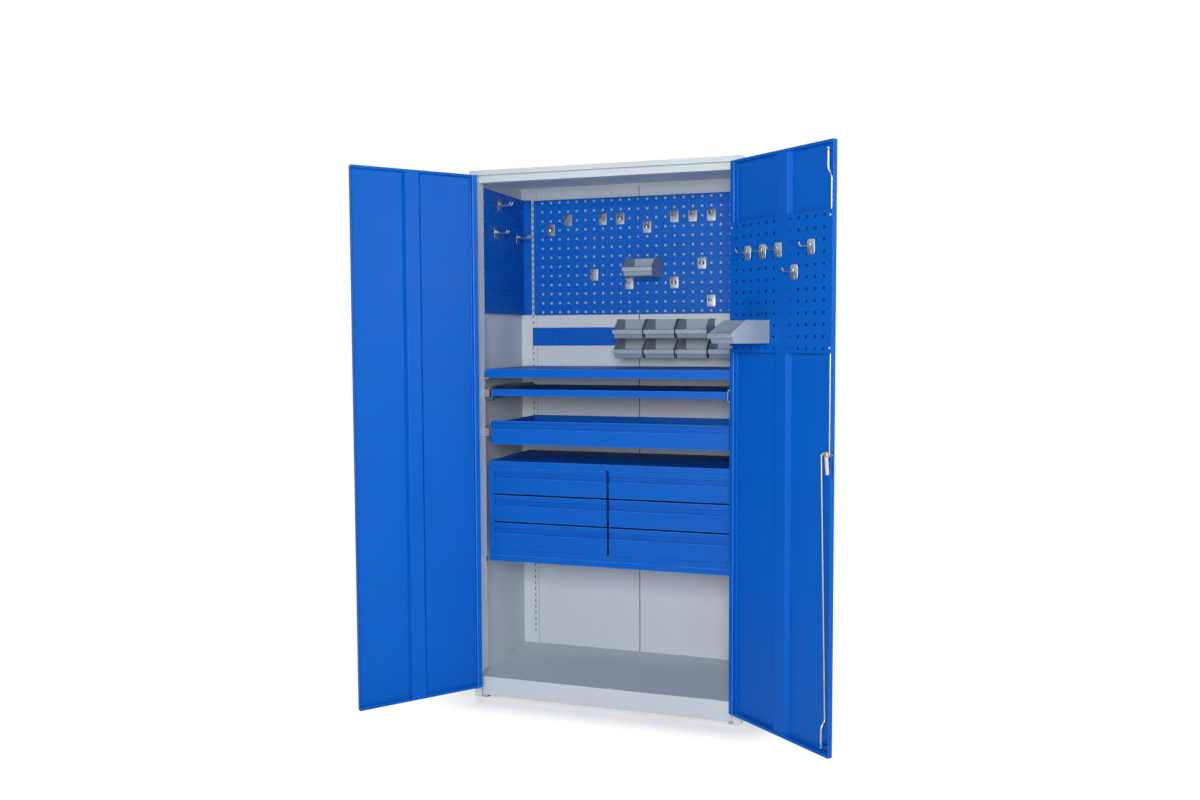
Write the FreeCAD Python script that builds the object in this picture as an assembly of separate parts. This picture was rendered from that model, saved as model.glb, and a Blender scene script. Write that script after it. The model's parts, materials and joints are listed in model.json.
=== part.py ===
import FreeCAD, Part
import os

V = FreeCAD.Vector

# A steel workshop cabinet with two hinged doors. Inside are perforated tool panels, storage bins,
# a fixed shelf, a pull-out shelf, a wide drawer and a block of six small drawers.
# X runs across the cabinet, Y from front to back and Z up. The origin is the middle of the
# base on the floor. Lengths are millimetres. The doors are drawn shut and then swung open.

# Cabinet body
cabinet_width = 1000.0
cabinet_depth = 500.0
cabinet_height = 1950.0
sheet = 1.0
foot_height = 9.0
cornice_height = 18.0
roof_rear_lip = 12.0
front_face_width = 27.0
return_depth = 62.0
return_bottom = 105.0
rear_post_width = 66.0
back_inset = 6.0
rail_setback = 21.0
rail_height = 24.0
rail_flange = 35.0
rail_lip = 15.0
floor_height = 80.0
floor_lip = 25.0
plinth_flange = 38.0
foot_flange = 45.0
foot_inset = 28.0
foot_setback = 45.0
foot_radius = 19.0
stem_radius = 4.0
stem_length = 17.0
nut_radius = 7.0
nut_height = 5.0

# Slots in the uprights that shelves and brackets hang from
slot_width = 4.0
slot_height = 12.0
slot_pitch = 25.0
slot_lowest_height = 130.0
slot_edge = 10.0
post_slot_edge = 15.0

# Perforated tool panels
hole_size = 9.0
hole_pitch = 36.5
hole_row_margin = 11.0
hole_column_margin = 25.0
rear_panel_margin = 60.0
rear_panel_gap = 51.0
rear_panel_top_gap = 11.0
rear_panel_standoff = 14.0
side_panel_top_gap = 8.0
side_panel_setback = 65.0
side_panel_standoff = 15.0
side_panel_flange = 34.0

# Louvred rail and storage bins
bin_rail_margin = 50.0
bin_rail_gap = 82.0
bin_rail_height = 73.0
bin_rail_standoff = 6.0
louvre_width = 60.0
louvre_reach = 5.0
louvre_lip = 9.0
louvre_sheet = 1.5
louvre_height = 16.0
bin_width = 112.0
bin_rim = 3.0
bin_depth = 161.0
bin_height = 75.0
bin_wall = 2.0
bin_front_height = 32.0
bin_lip_height = 15.0
bin_mouth_depth = 62.0
bin_front_slant = 16.0
bin_pitch = 124.0
bin_end_margin = 77.0
bin_overlap_share = 0.384
lower_bins = 4
upper_bins = 3
bin_hook_gap = 0.4
panel_bin_share = 0.0932
panel_bin_lift = 141.0
hanger_width = 40.0
hanger_height = 50.0
hanger_sheet = 1.5

# Shelves
shelf_side_gap = 7.0
shelf_clearance = 43.0
shelf_lip = 32.0
shelf_setback = 48.0
shelf_rear_gap = 10.0
shelf_hem = 12.0
block_shelf_lip = 22.0
block_shelf_setback = 68.0
clip_height = 6.0
clip_reach = 18.0
clip_width = 10.0
clip_upstand = 17.0
clip_sheet = 2.0

# Telescopic slides
slide_side_gap = 18.8
slide_thickness = 12.7
slide_height = 45.0
slide_sheet = 1.2
slide_clearance = 0.3
slide_length = 420.0
slide_setback = 50.0
slide_flange = 8.5
bracket_half_height = 24.0
bracket_reach = 12.8
bracket_tab = 8.0
bracket_tab_height = 30.0

# Pull-out shelf and wide drawer
pullout_clearance = 84.0
pullout_lip = 25.0
pullout_side_lip = 33.0
pullout_slide_drop = 14.0
wide_overhang = 4.5
wide_clearance = 65.0
wide_height = 87.0
wide_strip = 6.0
wide_groove = 30.0
wide_front_depth = 18.0
wide_box_height = 68.0
wide_box_lift = 10.0
wide_slide_lift = 44.0

# Block of small drawers
casing_bottom = 532.0
casing_height = 354.0
casing_setback = 70.0
casing_depth = 400.0
casing_frame = 23.0
casing_side_frame = 21.5
divider_width = 7.0
drawer_height = 98.0
drawer_pitch = 104.0
drawer_rows = 3
front_gap = 1.0
drawer_strip = 18.0
drawer_groove = 39.0
drawer_front_depth = 14.0
drawer_box_depth = 376.0
drawer_box_height = 72.0
drawer_box_lift = 8.0
runner_width = 11.0
runner_height = 14.0
runner_sheet = 1.0
runner_clearance = 0.3
runner_lift = 30.0
runner_setback = 20.0
runner_length = 370.0

# Doors
door_bottom = 54.0
door_top_gap = 3.0
door_gap = 2.0
door_depth = 18.0
door_sheet = 1.0
door_box_width = 20.0
stiffener_distance = 213.0
stiffener_width = 70.0
stiffener_slope = 10.0
stiffener_clearance = 1.0
left_rest_angle = 130.0
right_rest_angle = 141.0

# Door hinges
hinge_radius = 5.0
hinge_standoff = 5.5
hinge_offset = 1.0
hinge_half_length = 25.0
hinge_gap = 0.3
pin_radius = 3.0
pin_clearance = 0.05
pin_seat = 4.0
pad_width = 10.0
hinge_lower_inset = 146.0
hinge_upper_inset = 149.0

# Perforated panel, bolts and hooks on the right door
door_panel_inset = 3.0
door_panel_edge_gap = 1.6
door_panel_drop = 206.0
door_panel_height = 430.0
door_bolt_inset = 10.0
door_bolt_edge = 6.9
door_bolt_height = 17.0
bolt_head_radius = 4.5
bolt_head_height = 3.0
bolt_radius = 2.5
bolt_below = 1.4
tab_width = 10.0
tab_height = 20.0
door_bin_inset = 89.0
door_bin_lift = 30.0

# Lock with its two rods
lock_edge_distance = 27.0
lock_lift = 932.0
cam_radius = 17.0
cam_sheet = 3.0
cam_offset = 4.0
cam_half_width = 6.5
pivot_radius = 2.8
pivot_clearance = 0.1
rod_radius = 3.5
rod_offset = 12.0
rod_end_offset = 28.0
rod_end_length = 82.0
jog_height = 16.0
upper_tip_gap = 3.0
lower_tip_gap = 4.0
lower_tip_edge_distance = 20.0
tongue_length = 67.0
tongue_half_width = 5.0
tongue_sheet = 3.0
tongue_offset = 8.0
tongue_slot_clearance = 1.6
guide_sheet = 2.0
guide_half_width = 9.0
guide_reach = 34.0
guide_gap = 7.0
rod_play = 4.5
catch_margin = 1.5
spindle_radius = 4.0
spindle_clearance = 0.05
lock_plate_width = 34.0
lock_plate_height = 120.0
plate_drop_share = 0.75
lock_plate_sheet = 5.0
lock_bush_radius = 10.0
lock_screw_radius = 5.0
lock_screw_height = 3.0
handle_hub_radius = 13.0
handle_hub_depth = 8.0
handle_length = 105.0
handle_width = 22.0
handle_thickness = 6.0
handle_gap = 0.3
cylinder_radius = 8.0
cylinder_depth = 2.0

# Hooks and clips for tools
plate_width = 33.0
plate_height = 46.0
plate_sheet = 1.5
prong_radius = 2.5
prong_length = 45.0
prong_tip = 12.0
prong_spread = 10.0
clip_ring_radius = 10.0
clip_ring_wall = 1.5
clip_ring_depth = 12.0
clip_ring_mouth = 12.0

# Levels and planes worked out from the sizes above
overrun = 5.0
front = -cabinet_depth / 2
back = cabinet_depth / 2
side = cabinet_width / 2
wall_top = cabinet_height - cornice_height
post_top = cabinet_height - roof_rear_lip
rear_face = back - back_inset
inner_side = side - front_face_width
hinge_x = inner_side + hinge_offset
hinge_y = front - hinge_standoff
door_width = inner_side - door_gap - door_gap / 2
door_top = wall_top - door_top_gap
hinge_low = door_bottom + hinge_lower_inset
hinge_high = door_top - hinge_upper_inset
hinge_heights = (hinge_low, (hinge_low + hinge_high) / 2, hinge_high)
slide_half_gap = inner_side - slide_side_gap - slide_thickness
shelf_half_width = inner_side - shelf_side_gap
casing_top = casing_bottom + casing_height
wide_half_width = slide_half_gap + wide_overhang
wide_bottom = casing_top + wide_clearance
wide_slide_z = wide_bottom + wide_slide_lift
pullout_top = wide_bottom + wide_height + pullout_clearance + pullout_side_lip
pullout_slide_z = pullout_top - pullout_slide_drop
shelf_top = pullout_top + shelf_clearance + shelf_lip
head_rail_bottom = wall_top - rail_height
bin_rail_half = side - bin_rail_margin
bin_rail_bottom = shelf_top + bin_rail_gap
rear_panel_half = side - rear_panel_margin
rear_panel_bottom = bin_rail_bottom + bin_rail_height + rear_panel_gap
rear_panel_top = head_rail_bottom - rear_panel_top_gap
side_panel_bottom = rear_panel_bottom + sheet
side_panel_top = head_rail_bottom - side_panel_top_gap
door_panel_width = door_width - door_panel_inset - door_panel_edge_gap
door_panel_bottom = door_top - door_panel_drop - door_panel_height
door_bin_bottom = door_panel_bottom + door_bin_lift
lock_u = door_width - lock_edge_distance
lock_z = door_bottom + lock_lift
upper_tip_z = head_rail_bottom - upper_tip_gap
upper_jog_z = upper_tip_z - rod_end_length
lower_tip_z = floor_height + lower_tip_gap
lower_jog_z = lower_tip_z + rod_end_length
lower_tip_u = door_width - lower_tip_edge_distance


def block(x0, x1, y0, y1, z0, z1):
    return Part.makeBox(x1 - x0, y1 - y0, z1 - z0, V(x0, y0, z0))


def rod(start, end, radius):
    line = end - start
    return Part.makeCylinder(radius, line.Length, start, line)


def joined(shapes):
    first = shapes[0]
    return first.multiFuse(shapes[1:]).removeSplitter()


def mirrored(shape):
    return shape.mirror(V(0, 0, 0), V(1, 0, 0))


def prism(points, direction):
    return Part.Face(Part.makePolygon(points + points[:1])).extrude(direction)


def holed_face(corner, along, up, size, holes):
    """A rectangle from its corner, with rectangular holes given as (centre, centre, width, height)."""
    def ring(a0, a1, b0, b1):
        pairs = ((a0, b0), (a1, b0), (a1, b1), (a0, b1), (a0, b0))
        return Part.makePolygon([corner + along * a + up * b for a, b in pairs])
    wires = [ring(0, size[0], 0, size[1])]
    for a, b, width, height in holes:
        wires.append(ring(a - width / 2, a + width / 2, b - height / 2, b + height / 2))
    return Part.makeFace(wires, "Part::FaceMakerBullseye")


def plate_across(x0, x1, z0, z1, y0, thickness, holes=()):
    """An upright plate facing the front, its holes placed in X and Z."""
    places = [(x - x0, z - z0, w, h) for x, z, w, h in holes]
    face = holed_face(V(x0, y0, z0), V(1, 0, 0), V(0, 0, 1), (x1 - x0, z1 - z0), places)
    return face.extrude(V(0, thickness, 0))


def plate_along(y0, y1, z0, z1, x0, thickness, holes=()):
    """An upright plate running from front to back, its holes placed in Y and Z."""
    places = [(y - y0, z - z0, w, h) for y, z, w, h in holes]
    face = holed_face(V(x0, y0, z0), V(0, 1, 0), V(0, 0, 1), (y1 - y0, z1 - z0), places)
    return face.extrude(V(thickness, 0, 0))


def slot_levels():
    count = int((wall_top - slot_lowest_height - slot_pitch) / slot_pitch)
    return [slot_lowest_height + slot_pitch * i for i in range(count)]


def hole_centres(low, high, margin):
    """Centres of the holes across a panel, as many as fit inside its margins."""
    count = int((high - low - margin * 2) / hole_pitch) + 1
    first = (low + high - hole_pitch * (count - 1)) / 2
    return [first + hole_pitch * i for i in range(count)]


def hole_grid(low, high, bottom, top):
    holes = []
    for across in hole_centres(low, high, hole_column_margin):
        for z in hole_centres(bottom, top, hole_row_margin):
            holes.append((across, z, hole_size, hole_size))
    return holes


# Carcass

def side_panel():
    """Folded right-hand side: outer wall, front face, slotted return and slotted rear post."""
    slot_y = front + return_depth - slot_edge
    front_slots = [(slot_y, z, slot_width, slot_height) for z in slot_levels()]
    post_edge = side - rear_post_width
    slot_x = post_edge + post_slot_edge
    rear_slots = [(slot_x, z, slot_width, slot_height) for z in slot_levels()]
    flange = block(side - foot_flange, side, front + sheet, rear_face, foot_height, foot_height + sheet)
    for y in (front + foot_setback, back - foot_setback):
        hole = rod(V(side - foot_inset, y, foot_height - overrun),
                   V(side - foot_inset, y, foot_height + overrun), stem_radius + pin_clearance)
        flange = flange.cut(hole)
    return joined([
        block(side - sheet, side, front, back, foot_height, wall_top),
        block(inner_side, side, front, front + sheet, foot_height, wall_top),
        plate_along(front, front + return_depth, return_bottom, wall_top, inner_side, sheet, front_slots),
        plate_across(post_edge, side, foot_height, post_top, rear_face, sheet, rear_slots)
        .cut(block(side - sheet, side + overrun, front, back, wall_top, cabinet_height)),
        block(post_edge, post_edge + sheet, rear_face, back, foot_height, post_top),
        flange,
    ])


def back_panel():
    """Right-hand half of the back, a shallow tray with its edges folded to the rear."""
    width = side - rear_post_width
    return joined([
        block(0, width, rear_face, rear_face + sheet, foot_height, post_top),
        block(0, sheet, rear_face, back, foot_height, post_top),
        block(width - sheet, width, rear_face, back, foot_height, post_top),
        block(0, width, rear_face, back, foot_height, foot_height + sheet),
        block(0, width, rear_face, back, post_top - sheet, post_top),
    ])


def roof():
    top = cabinet_height - sheet
    return joined([
        block(-side, side, front, back, top, cabinet_height),
        block(-side, side, front, front + sheet, wall_top, top),
        block(-side, -side + sheet, front, back, wall_top, top),
        block(side - sheet, side, front, back, wall_top, top),
        block(-side, side, rear_face, rear_face + sheet, post_top, top),
    ])


def catch_slot(x, z):
    """The long hole that a rod's tip drops into, wider than the rod by its sideways play."""
    half = rod_radius + rod_play
    y = front + rod_end_offset
    half_y = rod_radius + catch_margin
    return block(x - half, x + half, y - half_y, y + half_y, z - overrun, z + overrun)


def rod_catch_x(u):
    return inner_side - door_gap - u


def head_rail():
    y0 = front + rail_setback
    y1 = y0 + rail_flange
    z0 = head_rail_bottom
    z1 = cabinet_height - sheet
    rail = joined([
        block(-inner_side, inner_side, y0, y0 + sheet, z0, z1),
        block(-inner_side, inner_side, y0, y1, z0, z0 + sheet),
        block(-inner_side, inner_side, y1 - sheet, y1, z0, z0 + rail_lip),
    ])
    return rail.cut(catch_slot(rod_catch_x(lock_u + cam_radius), z0))


def floor_pan():
    y0 = front + rail_setback
    x1 = side - sheet
    z0 = floor_height - sheet
    pan = joined([
        block(-x1, x1, y0, rear_face, z0, floor_height),
        block(-x1, -x1 + sheet, y0, rear_face, floor_height, floor_height + floor_lip),
        block(x1 - sheet, x1, y0, rear_face, floor_height, floor_height + floor_lip),
        block(-x1, x1, rear_face - sheet, rear_face, floor_height - floor_lip, z0),
    ])
    return pan.cut(catch_slot(rod_catch_x(lower_tip_u), z0))


def plinth():
    y0 = front + rail_setback
    x1 = side - sheet
    z0 = foot_height + sheet
    z1 = floor_height - sheet
    inner = side - foot_flange - front_gap
    return joined([
        block(-x1, x1, y0, y0 + sheet, z0, z1),
        block(-inner, inner, y0, y0 + plinth_flange, z0, z0 + sheet),
        block(-x1, -x1 + sheet, y0, y0 + plinth_flange, z0, z1),
        block(x1 - sheet, x1, y0, y0 + plinth_flange, z0, z1),
    ])


def levelling_feet():
    feet = []
    for x in (-side + foot_inset, side - foot_inset):
        for y in (front + foot_setback, back - foot_setback):
            feet.append(joined([
                rod(V(x, y, 0), V(x, y, foot_height), foot_radius),
                rod(V(x, y, 0), V(x, y, foot_height + stem_length), stem_radius),
                rod(V(x, y, foot_height + sheet), V(x, y, foot_height + sheet + nut_height), nut_radius),
            ]))
    return Part.makeCompound(feet)


# Tool panels and the rail for bins

def rear_pegboard():
    x1 = rear_panel_half
    z0 = rear_panel_bottom
    z1 = rear_panel_top
    y0 = rear_face - rear_panel_standoff
    return joined([
        plate_across(-x1, x1, z0, z1, y0, sheet, hole_grid(-x1, x1, z0, z1)),
        block(-x1, x1, y0, rear_face, z0, z0 + sheet),
        block(-x1, x1, y0, rear_face, z1 - sheet, z1),
    ])


def side_pegboard():
    """Perforated panel on the left wall, with a plain flange turned in front of the rear post."""
    x0 = -side + sheet + side_panel_standoff - sheet
    y0 = front + side_panel_setback
    y1 = rear_face - rear_panel_standoff + sheet
    z0 = side_panel_bottom
    z1 = side_panel_top
    wall = -side + sheet
    return joined([
        plate_along(y0, y1, z0, z1, x0, sheet, hole_grid(y0, y1, z0, z1)),
        block(x0, x0 + sheet + side_panel_flange, y1 - sheet, y1, z0, z1),
        block(wall, x0, y0, y0 + sheet, z0, z1),
        block(wall, x0, y0, y1, z0, z0 + sheet),
        block(wall, x0, y0, y1, z1 - sheet, z1),
    ])


def rail_face():
    return rear_face - bin_rail_standoff - sheet


def louvre_base(row):
    """Height of a louvre's foot: the lower row hangs on row 0 and the upper row on row 1."""
    return bin_bottom(row) + bin_height - louvre_height


def bin_x(index):
    """Middle of a bin, counted from the left one; the right one hangs near the rail's end."""
    return bin_rail_half - bin_end_margin - bin_pitch * (lower_bins - 1 - index)


def bin_rail():
    x1 = bin_rail_half
    z0 = bin_rail_bottom
    z1 = z0 + bin_rail_height
    y0 = rail_face()
    pieces = [
        block(-x1, x1, y0, y0 + sheet, z0, z1),
        block(-x1, x1, y0, rear_face, z0, z0 + sheet),
        block(-x1, x1, y0, rear_face, z1 - sheet, z1),
    ]
    foot = louvre_base(0)
    count = int(bin_rail_half * 2 / bin_pitch)
    for i in range(count):
        x = bin_x(lower_bins - 1 - i)
        lip_y = y0 - louvre_reach
        pieces.append(block(x - louvre_width / 2, x + louvre_width / 2, lip_y, y0,
                            foot, foot + louvre_sheet))
        pieces.append(block(x - louvre_width / 2, x + louvre_width / 2, lip_y, lip_y + louvre_sheet,
                            foot, foot + louvre_lip))
    return joined(pieces)


def storage_bin(hook):
    """An open bin, its back upright on the XZ plane, its mouth cut low at the front, facing -Y."""
    half = bin_width / 2
    d = bin_depth
    h = bin_height

    def outline(inset, top):
        foot = -d + bin_front_slant
        return [V(0, -inset, inset), V(0, foot + inset, inset), V(0, -d + inset, bin_front_height + top),
                V(0, -d + bin_mouth_depth, h + top), V(0, -inset, h + top)]

    def prism_at(points, x0, x1):
        moved = [V(x0, p.y, p.z) for p in points]
        return prism(moved, V(x1 - x0, 0, 0))

    shell = prism_at(outline(0, 0), -half, half)
    space = prism_at(outline(bin_wall, bin_rim * 2), -half + bin_wall, half - bin_wall)
    pieces = [shell]
    for x0 in (-half - bin_rim, half):
        pieces.append(block(x0, x0 + bin_rim, -d + bin_mouth_depth, 0, h - bin_rim, h))
    lip = half + bin_rim
    top = bin_front_height
    pieces.append(block(-lip, lip, -d - bin_rim, -d + bin_wall, top - bin_wall, top))
    pieces.append(block(-lip, lip, -d - bin_rim, -d - bin_rim + bin_wall, top - bin_lip_height, top))
    body = joined(pieces).cut(space)
    if hook:
        reach = louvre_reach - louvre_sheet - bin_hook_gap
        width = louvre_width / 2 - bin_rim
        arm = block(-width, width, -bin_wall, louvre_sheet + bin_hook_gap + reach / 2,
                    h - louvre_height + louvre_lip + bin_hook_gap, h - bin_wall)
        drop = block(-width, width, louvre_sheet + bin_hook_gap, louvre_sheet + bin_hook_gap + reach / 2,
                     h - louvre_height + louvre_sheet + bin_hook_gap, h - bin_wall)
        body = joined([body, arm, drop])
    return body


def bin_bottom(row):
    """Level of a row of bins on the rail: the upper row stands on the rims of the lower one."""
    return bin_rail_bottom - bin_height + bin_rail_height * bin_overlap_share + bin_height * row


def rail_bin(row, index):
    shape = storage_bin(row == 0)
    y = rail_face() - louvre_reach - bin_hook_gap * (1 - row)
    shape.translate(V(bin_x(index), y, bin_bottom(row)))
    return shape


def hung_bin():
    """A bin for a perforated panel, its hanging plate behind it as a second solid."""
    bin_shape = storage_bin(False)
    bin_shape.translate(V(0, -hanger_sheet, 0))
    half = hanger_width / 2
    plate = block(-half, half, -hanger_sheet, 0, bin_height - hanger_height, bin_height)
    return Part.makeCompound([bin_shape, plate])


def panel_bin():
    shape = hung_bin()
    shape.translate(V(rear_panel_half * panel_bin_share, rear_face - rear_panel_standoff,
                      rear_panel_bottom + panel_bin_lift))
    return shape


# Shelves

def shelf(top, setback, lip):
    y0 = front + setback
    y1 = rear_face - shelf_rear_gap
    x1 = shelf_half_width
    z0 = top - lip
    return joined([
        block(-x1, x1, y0, y1, top - sheet, top),
        block(-x1, x1, y0, y0 + sheet, z0, top),
        block(-x1, x1, y0, y0 + shelf_hem, z0, z0 + sheet),
        block(-x1, x1, y1 - sheet, y1, z0, top),
        block(-x1, -x1 + sheet, y0, y1, z0, top),
        block(x1 - sheet, x1, y0, y1, z0, top),
    ])


def fixed_shelf():
    return shelf(shelf_top, shelf_setback, shelf_lip)


def block_shelf():
    return shelf(casing_bottom, block_shelf_setback, block_shelf_lip)


def clips_under(z, front_y):
    """Four clips that carry a shelf: two on the front returns and two on the rear posts."""
    x1 = inner_side
    toe = block(x1 - clip_reach, x1, front_y, front_y + clip_width, z - clip_height, z)
    plate = block(x1 - clip_sheet, x1, front_y, front_y + clip_width, z, z + clip_upstand)
    front_clip = joined([toe, plate])
    post_edge = side - rear_post_width
    x0 = post_edge + post_slot_edge - clip_width / 2
    rear_toe = block(x0, x0 + clip_width, rear_face - clip_reach, rear_face, z - clip_height, z)
    rear_plate = block(x0, x0 + clip_width, rear_face - clip_sheet, rear_face, z, z + clip_upstand)
    rear_clip = joined([rear_toe, rear_plate])
    return [front_clip, rear_clip, mirrored(front_clip), mirrored(rear_clip)]


def shelf_clips():
    upper = clips_under(shelf_top - shelf_lip, front + shelf_setback + sheet)
    lower = clips_under(casing_bottom - block_shelf_lip, front + return_depth - slot_edge)
    return Part.makeCompound(upper + lower)


# Telescopic slides

def channel(x_web, x_tip, half_height, z, y0):
    """A slide member: an upright web with a flange along its top and its bottom."""
    if x_web < x_tip:
        x0, x1, w0 = x_web, x_tip, x_web
    else:
        x0, x1, w0 = x_tip, x_web, x_web - slide_sheet
    y1 = y0 + slide_length
    return joined([
        block(w0, w0 + slide_sheet, y0, y1, z - half_height, z + half_height),
        block(x0, x1, y0, y1, z + half_height - slide_sheet, z + half_height),
        block(x0, x1, y0, y1, z - half_height, z - half_height + slide_sheet),
    ])


def slide_member(member, z, setback):
    """One pair of members, 0 outer, 1 middle or 2 inner, nested with the slide's clearance."""
    y0 = front + setback
    outside = slide_half_gap + slide_thickness
    half = slide_height / 2 - member * (slide_sheet + slide_clearance)
    if member == 0:
        piece = channel(outside, outside - slide_flange, half, z, y0)
    elif member == 1:
        web = outside - slide_sheet - slide_clearance
        piece = channel(web, web - slide_flange, half, z, y0)
    else:
        piece = channel(slide_half_gap, slide_half_gap + slide_flange, half, z, y0)
    return [piece, mirrored(piece)]


def bracket(z):
    """The carrier between a slide and the uprights, hooked at the front return and the rear post."""
    x0 = slide_half_gap + slide_thickness
    x1 = x0 + bracket_reach
    y0 = front + slide_setback + sheet
    half = bracket_half_height
    tab = bracket_tab_height / 2
    piece = joined([
        block(x0, x0 + slide_sheet, y0, rear_face, z - half, z + half),
        block(x0, x1, y0, rear_face - clip_reach, z + half - slide_sheet, z + half),
        block(x0, x1, y0, rear_face - clip_reach, z - half, z - half + slide_sheet),
        block(x0, inner_side, y0, y0 + bracket_tab, z - tab, z + tab),
    ])
    return [piece, mirrored(piece)]


def slide_brackets():
    return Part.makeCompound(bracket(pullout_slide_z) + bracket(wide_slide_z))


def wide_setback():
    return slide_setback + wide_front_depth + sheet


def slide_outers():
    return Part.makeCompound(slide_member(0, pullout_slide_z, slide_setback)
                             + slide_member(0, wide_slide_z, wide_setback()))


# Pull-out shelf and wide drawer

def pullout_shelf():
    x1 = slide_half_gap
    y0 = front + slide_setback
    y1 = y0 + slide_length
    z0 = pullout_top - pullout_lip
    z_side = pullout_top - pullout_side_lip
    return joined([
        block(-x1, x1, y0, y1, pullout_top - sheet, pullout_top),
        block(-x1, x1, y0, y0 + sheet, z0, pullout_top),
        block(-x1, x1, y0, y0 + shelf_hem, z0, z0 + sheet),
        block(-x1, x1, y1 - sheet, y1, z0, pullout_top),
        block(-x1, -x1 + sheet, y0, y1, z_side, pullout_top),
        block(x1 - sheet, x1, y0, y1, z_side, pullout_top),
    ])


def grip_front(x0, x1, y0, z0, height, depth, strip, groove):
    """A folded drawer front: a strip along the top, a finger groove behind it and a plain face."""
    z1 = z0 + height
    y1 = y0 + depth
    ledge = z1 - groove
    return [
        block(x0, x1, y0, y0 + sheet, z0, ledge),
        block(x0, x1, y0, y1, ledge - sheet, ledge),
        block(x0, x1, y1 - sheet, y1, z0, z1),
        block(x0, x1, y0, y1, z1 - sheet, z1),
        block(x0, x1, y0, y0 + sheet, z1 - strip, z1),
        block(x0, x1, y0, y1, z0, z0 + sheet),
        block(x0, x0 + sheet, y0, y1, z0, z1),
        block(x1 - sheet, x1, y0, y1, z0, z1),
    ]


def open_box(x0, x1, y0, y1, z0, z1):
    outer = block(x0, x1, y0, y1, z0, z1)
    inner = block(x0 + sheet, x1 - sheet, y0 + sheet, y1 - sheet, z0 + sheet, z1 + overrun)
    return outer.cut(inner)


def wide_drawer():
    y0 = front + slide_setback
    y1 = y0 + wide_front_depth
    half = slide_half_gap
    z0 = wide_bottom + wide_box_lift
    pieces = grip_front(-wide_half_width, wide_half_width, y0, wide_bottom, wide_height,
                        wide_front_depth, wide_strip, wide_groove)
    pieces.append(open_box(-half, half, y1, y1 + slide_length, z0, z0 + wide_box_height))
    return joined(pieces)


# Block of small drawers

def casing_back():
    return front + casing_setback + casing_depth


def drawer_casing():
    x1 = shelf_half_width
    y0 = front + casing_setback
    y1 = casing_back()
    z0 = casing_bottom
    z1 = z0 + casing_height
    return joined([
        block(-x1, x1, y0, y1, z0, z0 + sheet),
        block(-x1, x1, y0, y1, z1 - sheet, z1),
        block(-x1, -x1 + sheet, y0, y1, z0, z1),
        block(x1 - sheet, x1, y0, y1, z0, z1),
        block(-x1, x1, y1 - sheet, y1, z0, z1),
        block(-x1, x1, y0, y0 + sheet, z0, z0 + casing_frame),
        block(-x1, x1, y0, y0 + sheet, z1 - casing_frame, z1),
        block(-x1, -x1 + casing_side_frame, y0, y0 + sheet, z0, z1),
        block(x1 - casing_side_frame, x1, y0, y0 + sheet, z0, z1),
        block(-sheet / 2, sheet / 2, y0 + drawer_front_depth, y1, z0, z1),
    ])


def drawer_span():
    """Left and right edges of a drawer front in the right-hand column."""
    left = divider_width / 2 + front_gap
    right = shelf_half_width - casing_side_frame - front_gap
    return left, right


def drawer_bottom(row):
    return casing_bottom + casing_frame + front_gap + drawer_pitch * row


def runner_planes():
    """Inner edges, in X, of the two runners beside a drawer in the right-hand column."""
    left, right = drawer_span()
    return left + runner_width, right - runner_width


def casing_runners():
    """Channels on the casing's walls that the small drawers run in, two for each drawer."""
    y0 = front + casing_setback + runner_setback
    y1 = y0 + runner_length
    inner_left, inner_right = runner_planes()
    spans = [(sheet / 2, inner_left - runner_clearance, True),
             (inner_right + runner_clearance, shelf_half_width - sheet, False)]
    runners = []
    for row in range(drawer_rows):
        z0 = drawer_bottom(row) + runner_lift
        z1 = z0 + runner_height
        for x0, x1, web_at_left in spans:
            web = x0 if web_at_left else x1 - runner_sheet
            piece = joined([
                block(web, web + runner_sheet, y0, y1, z0, z1),
                block(x0, x1, y0, y1, z0, z0 + runner_sheet),
                block(x0, x1, y0, y1, z1 - runner_sheet, z1),
            ])
            runners.append(piece)
            runners.append(mirrored(piece))
    return Part.makeCompound(runners)


def small_drawer(row):
    """A small drawer of the right-hand column: front, box and the two bars that ride the runners."""
    left, right = drawer_span()
    z0 = drawer_bottom(row)
    y0 = front + casing_setback
    y1 = y0 + drawer_front_depth
    box_left, box_right = runner_planes()
    box_bottom = z0 + drawer_box_lift
    pieces = grip_front(left, right, y0, z0, drawer_height, drawer_front_depth, drawer_strip, drawer_groove)
    pieces.append(open_box(box_left, box_right, y1, y1 + drawer_box_depth, box_bottom,
                           box_bottom + drawer_box_height))
    bar_z0 = z0 + runner_lift + runner_sheet + runner_clearance
    bar_z1 = z0 + runner_lift + runner_height - runner_sheet - runner_clearance
    reach = runner_width - runner_clearance - runner_sheet
    bar_y0 = y0 + runner_setback
    bar_y1 = bar_y0 + runner_length - front_gap
    pieces.append(block(box_left - reach, box_left, bar_y0, bar_y1, bar_z0, bar_z1))
    pieces.append(block(box_right, box_right + reach, bar_y0, bar_y1, bar_z0, bar_z1))
    return joined(pieces)


# Doors, drawn as the right-hand door and shut. A place on a door is (u, offset, z), where u is
# the distance from the hinge edge and offset the depth inward from the outer face.

def hinge_edge():
    return inner_side - door_gap


def on_door(u, offset, z):
    return V(hinge_edge() - u, front + offset, z)


def door_block(u0, u1, offset0, offset1, z0, z1):
    return block(hinge_edge() - u1, hinge_edge() - u0, front + offset0, front + offset1, z0, z1)


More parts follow.
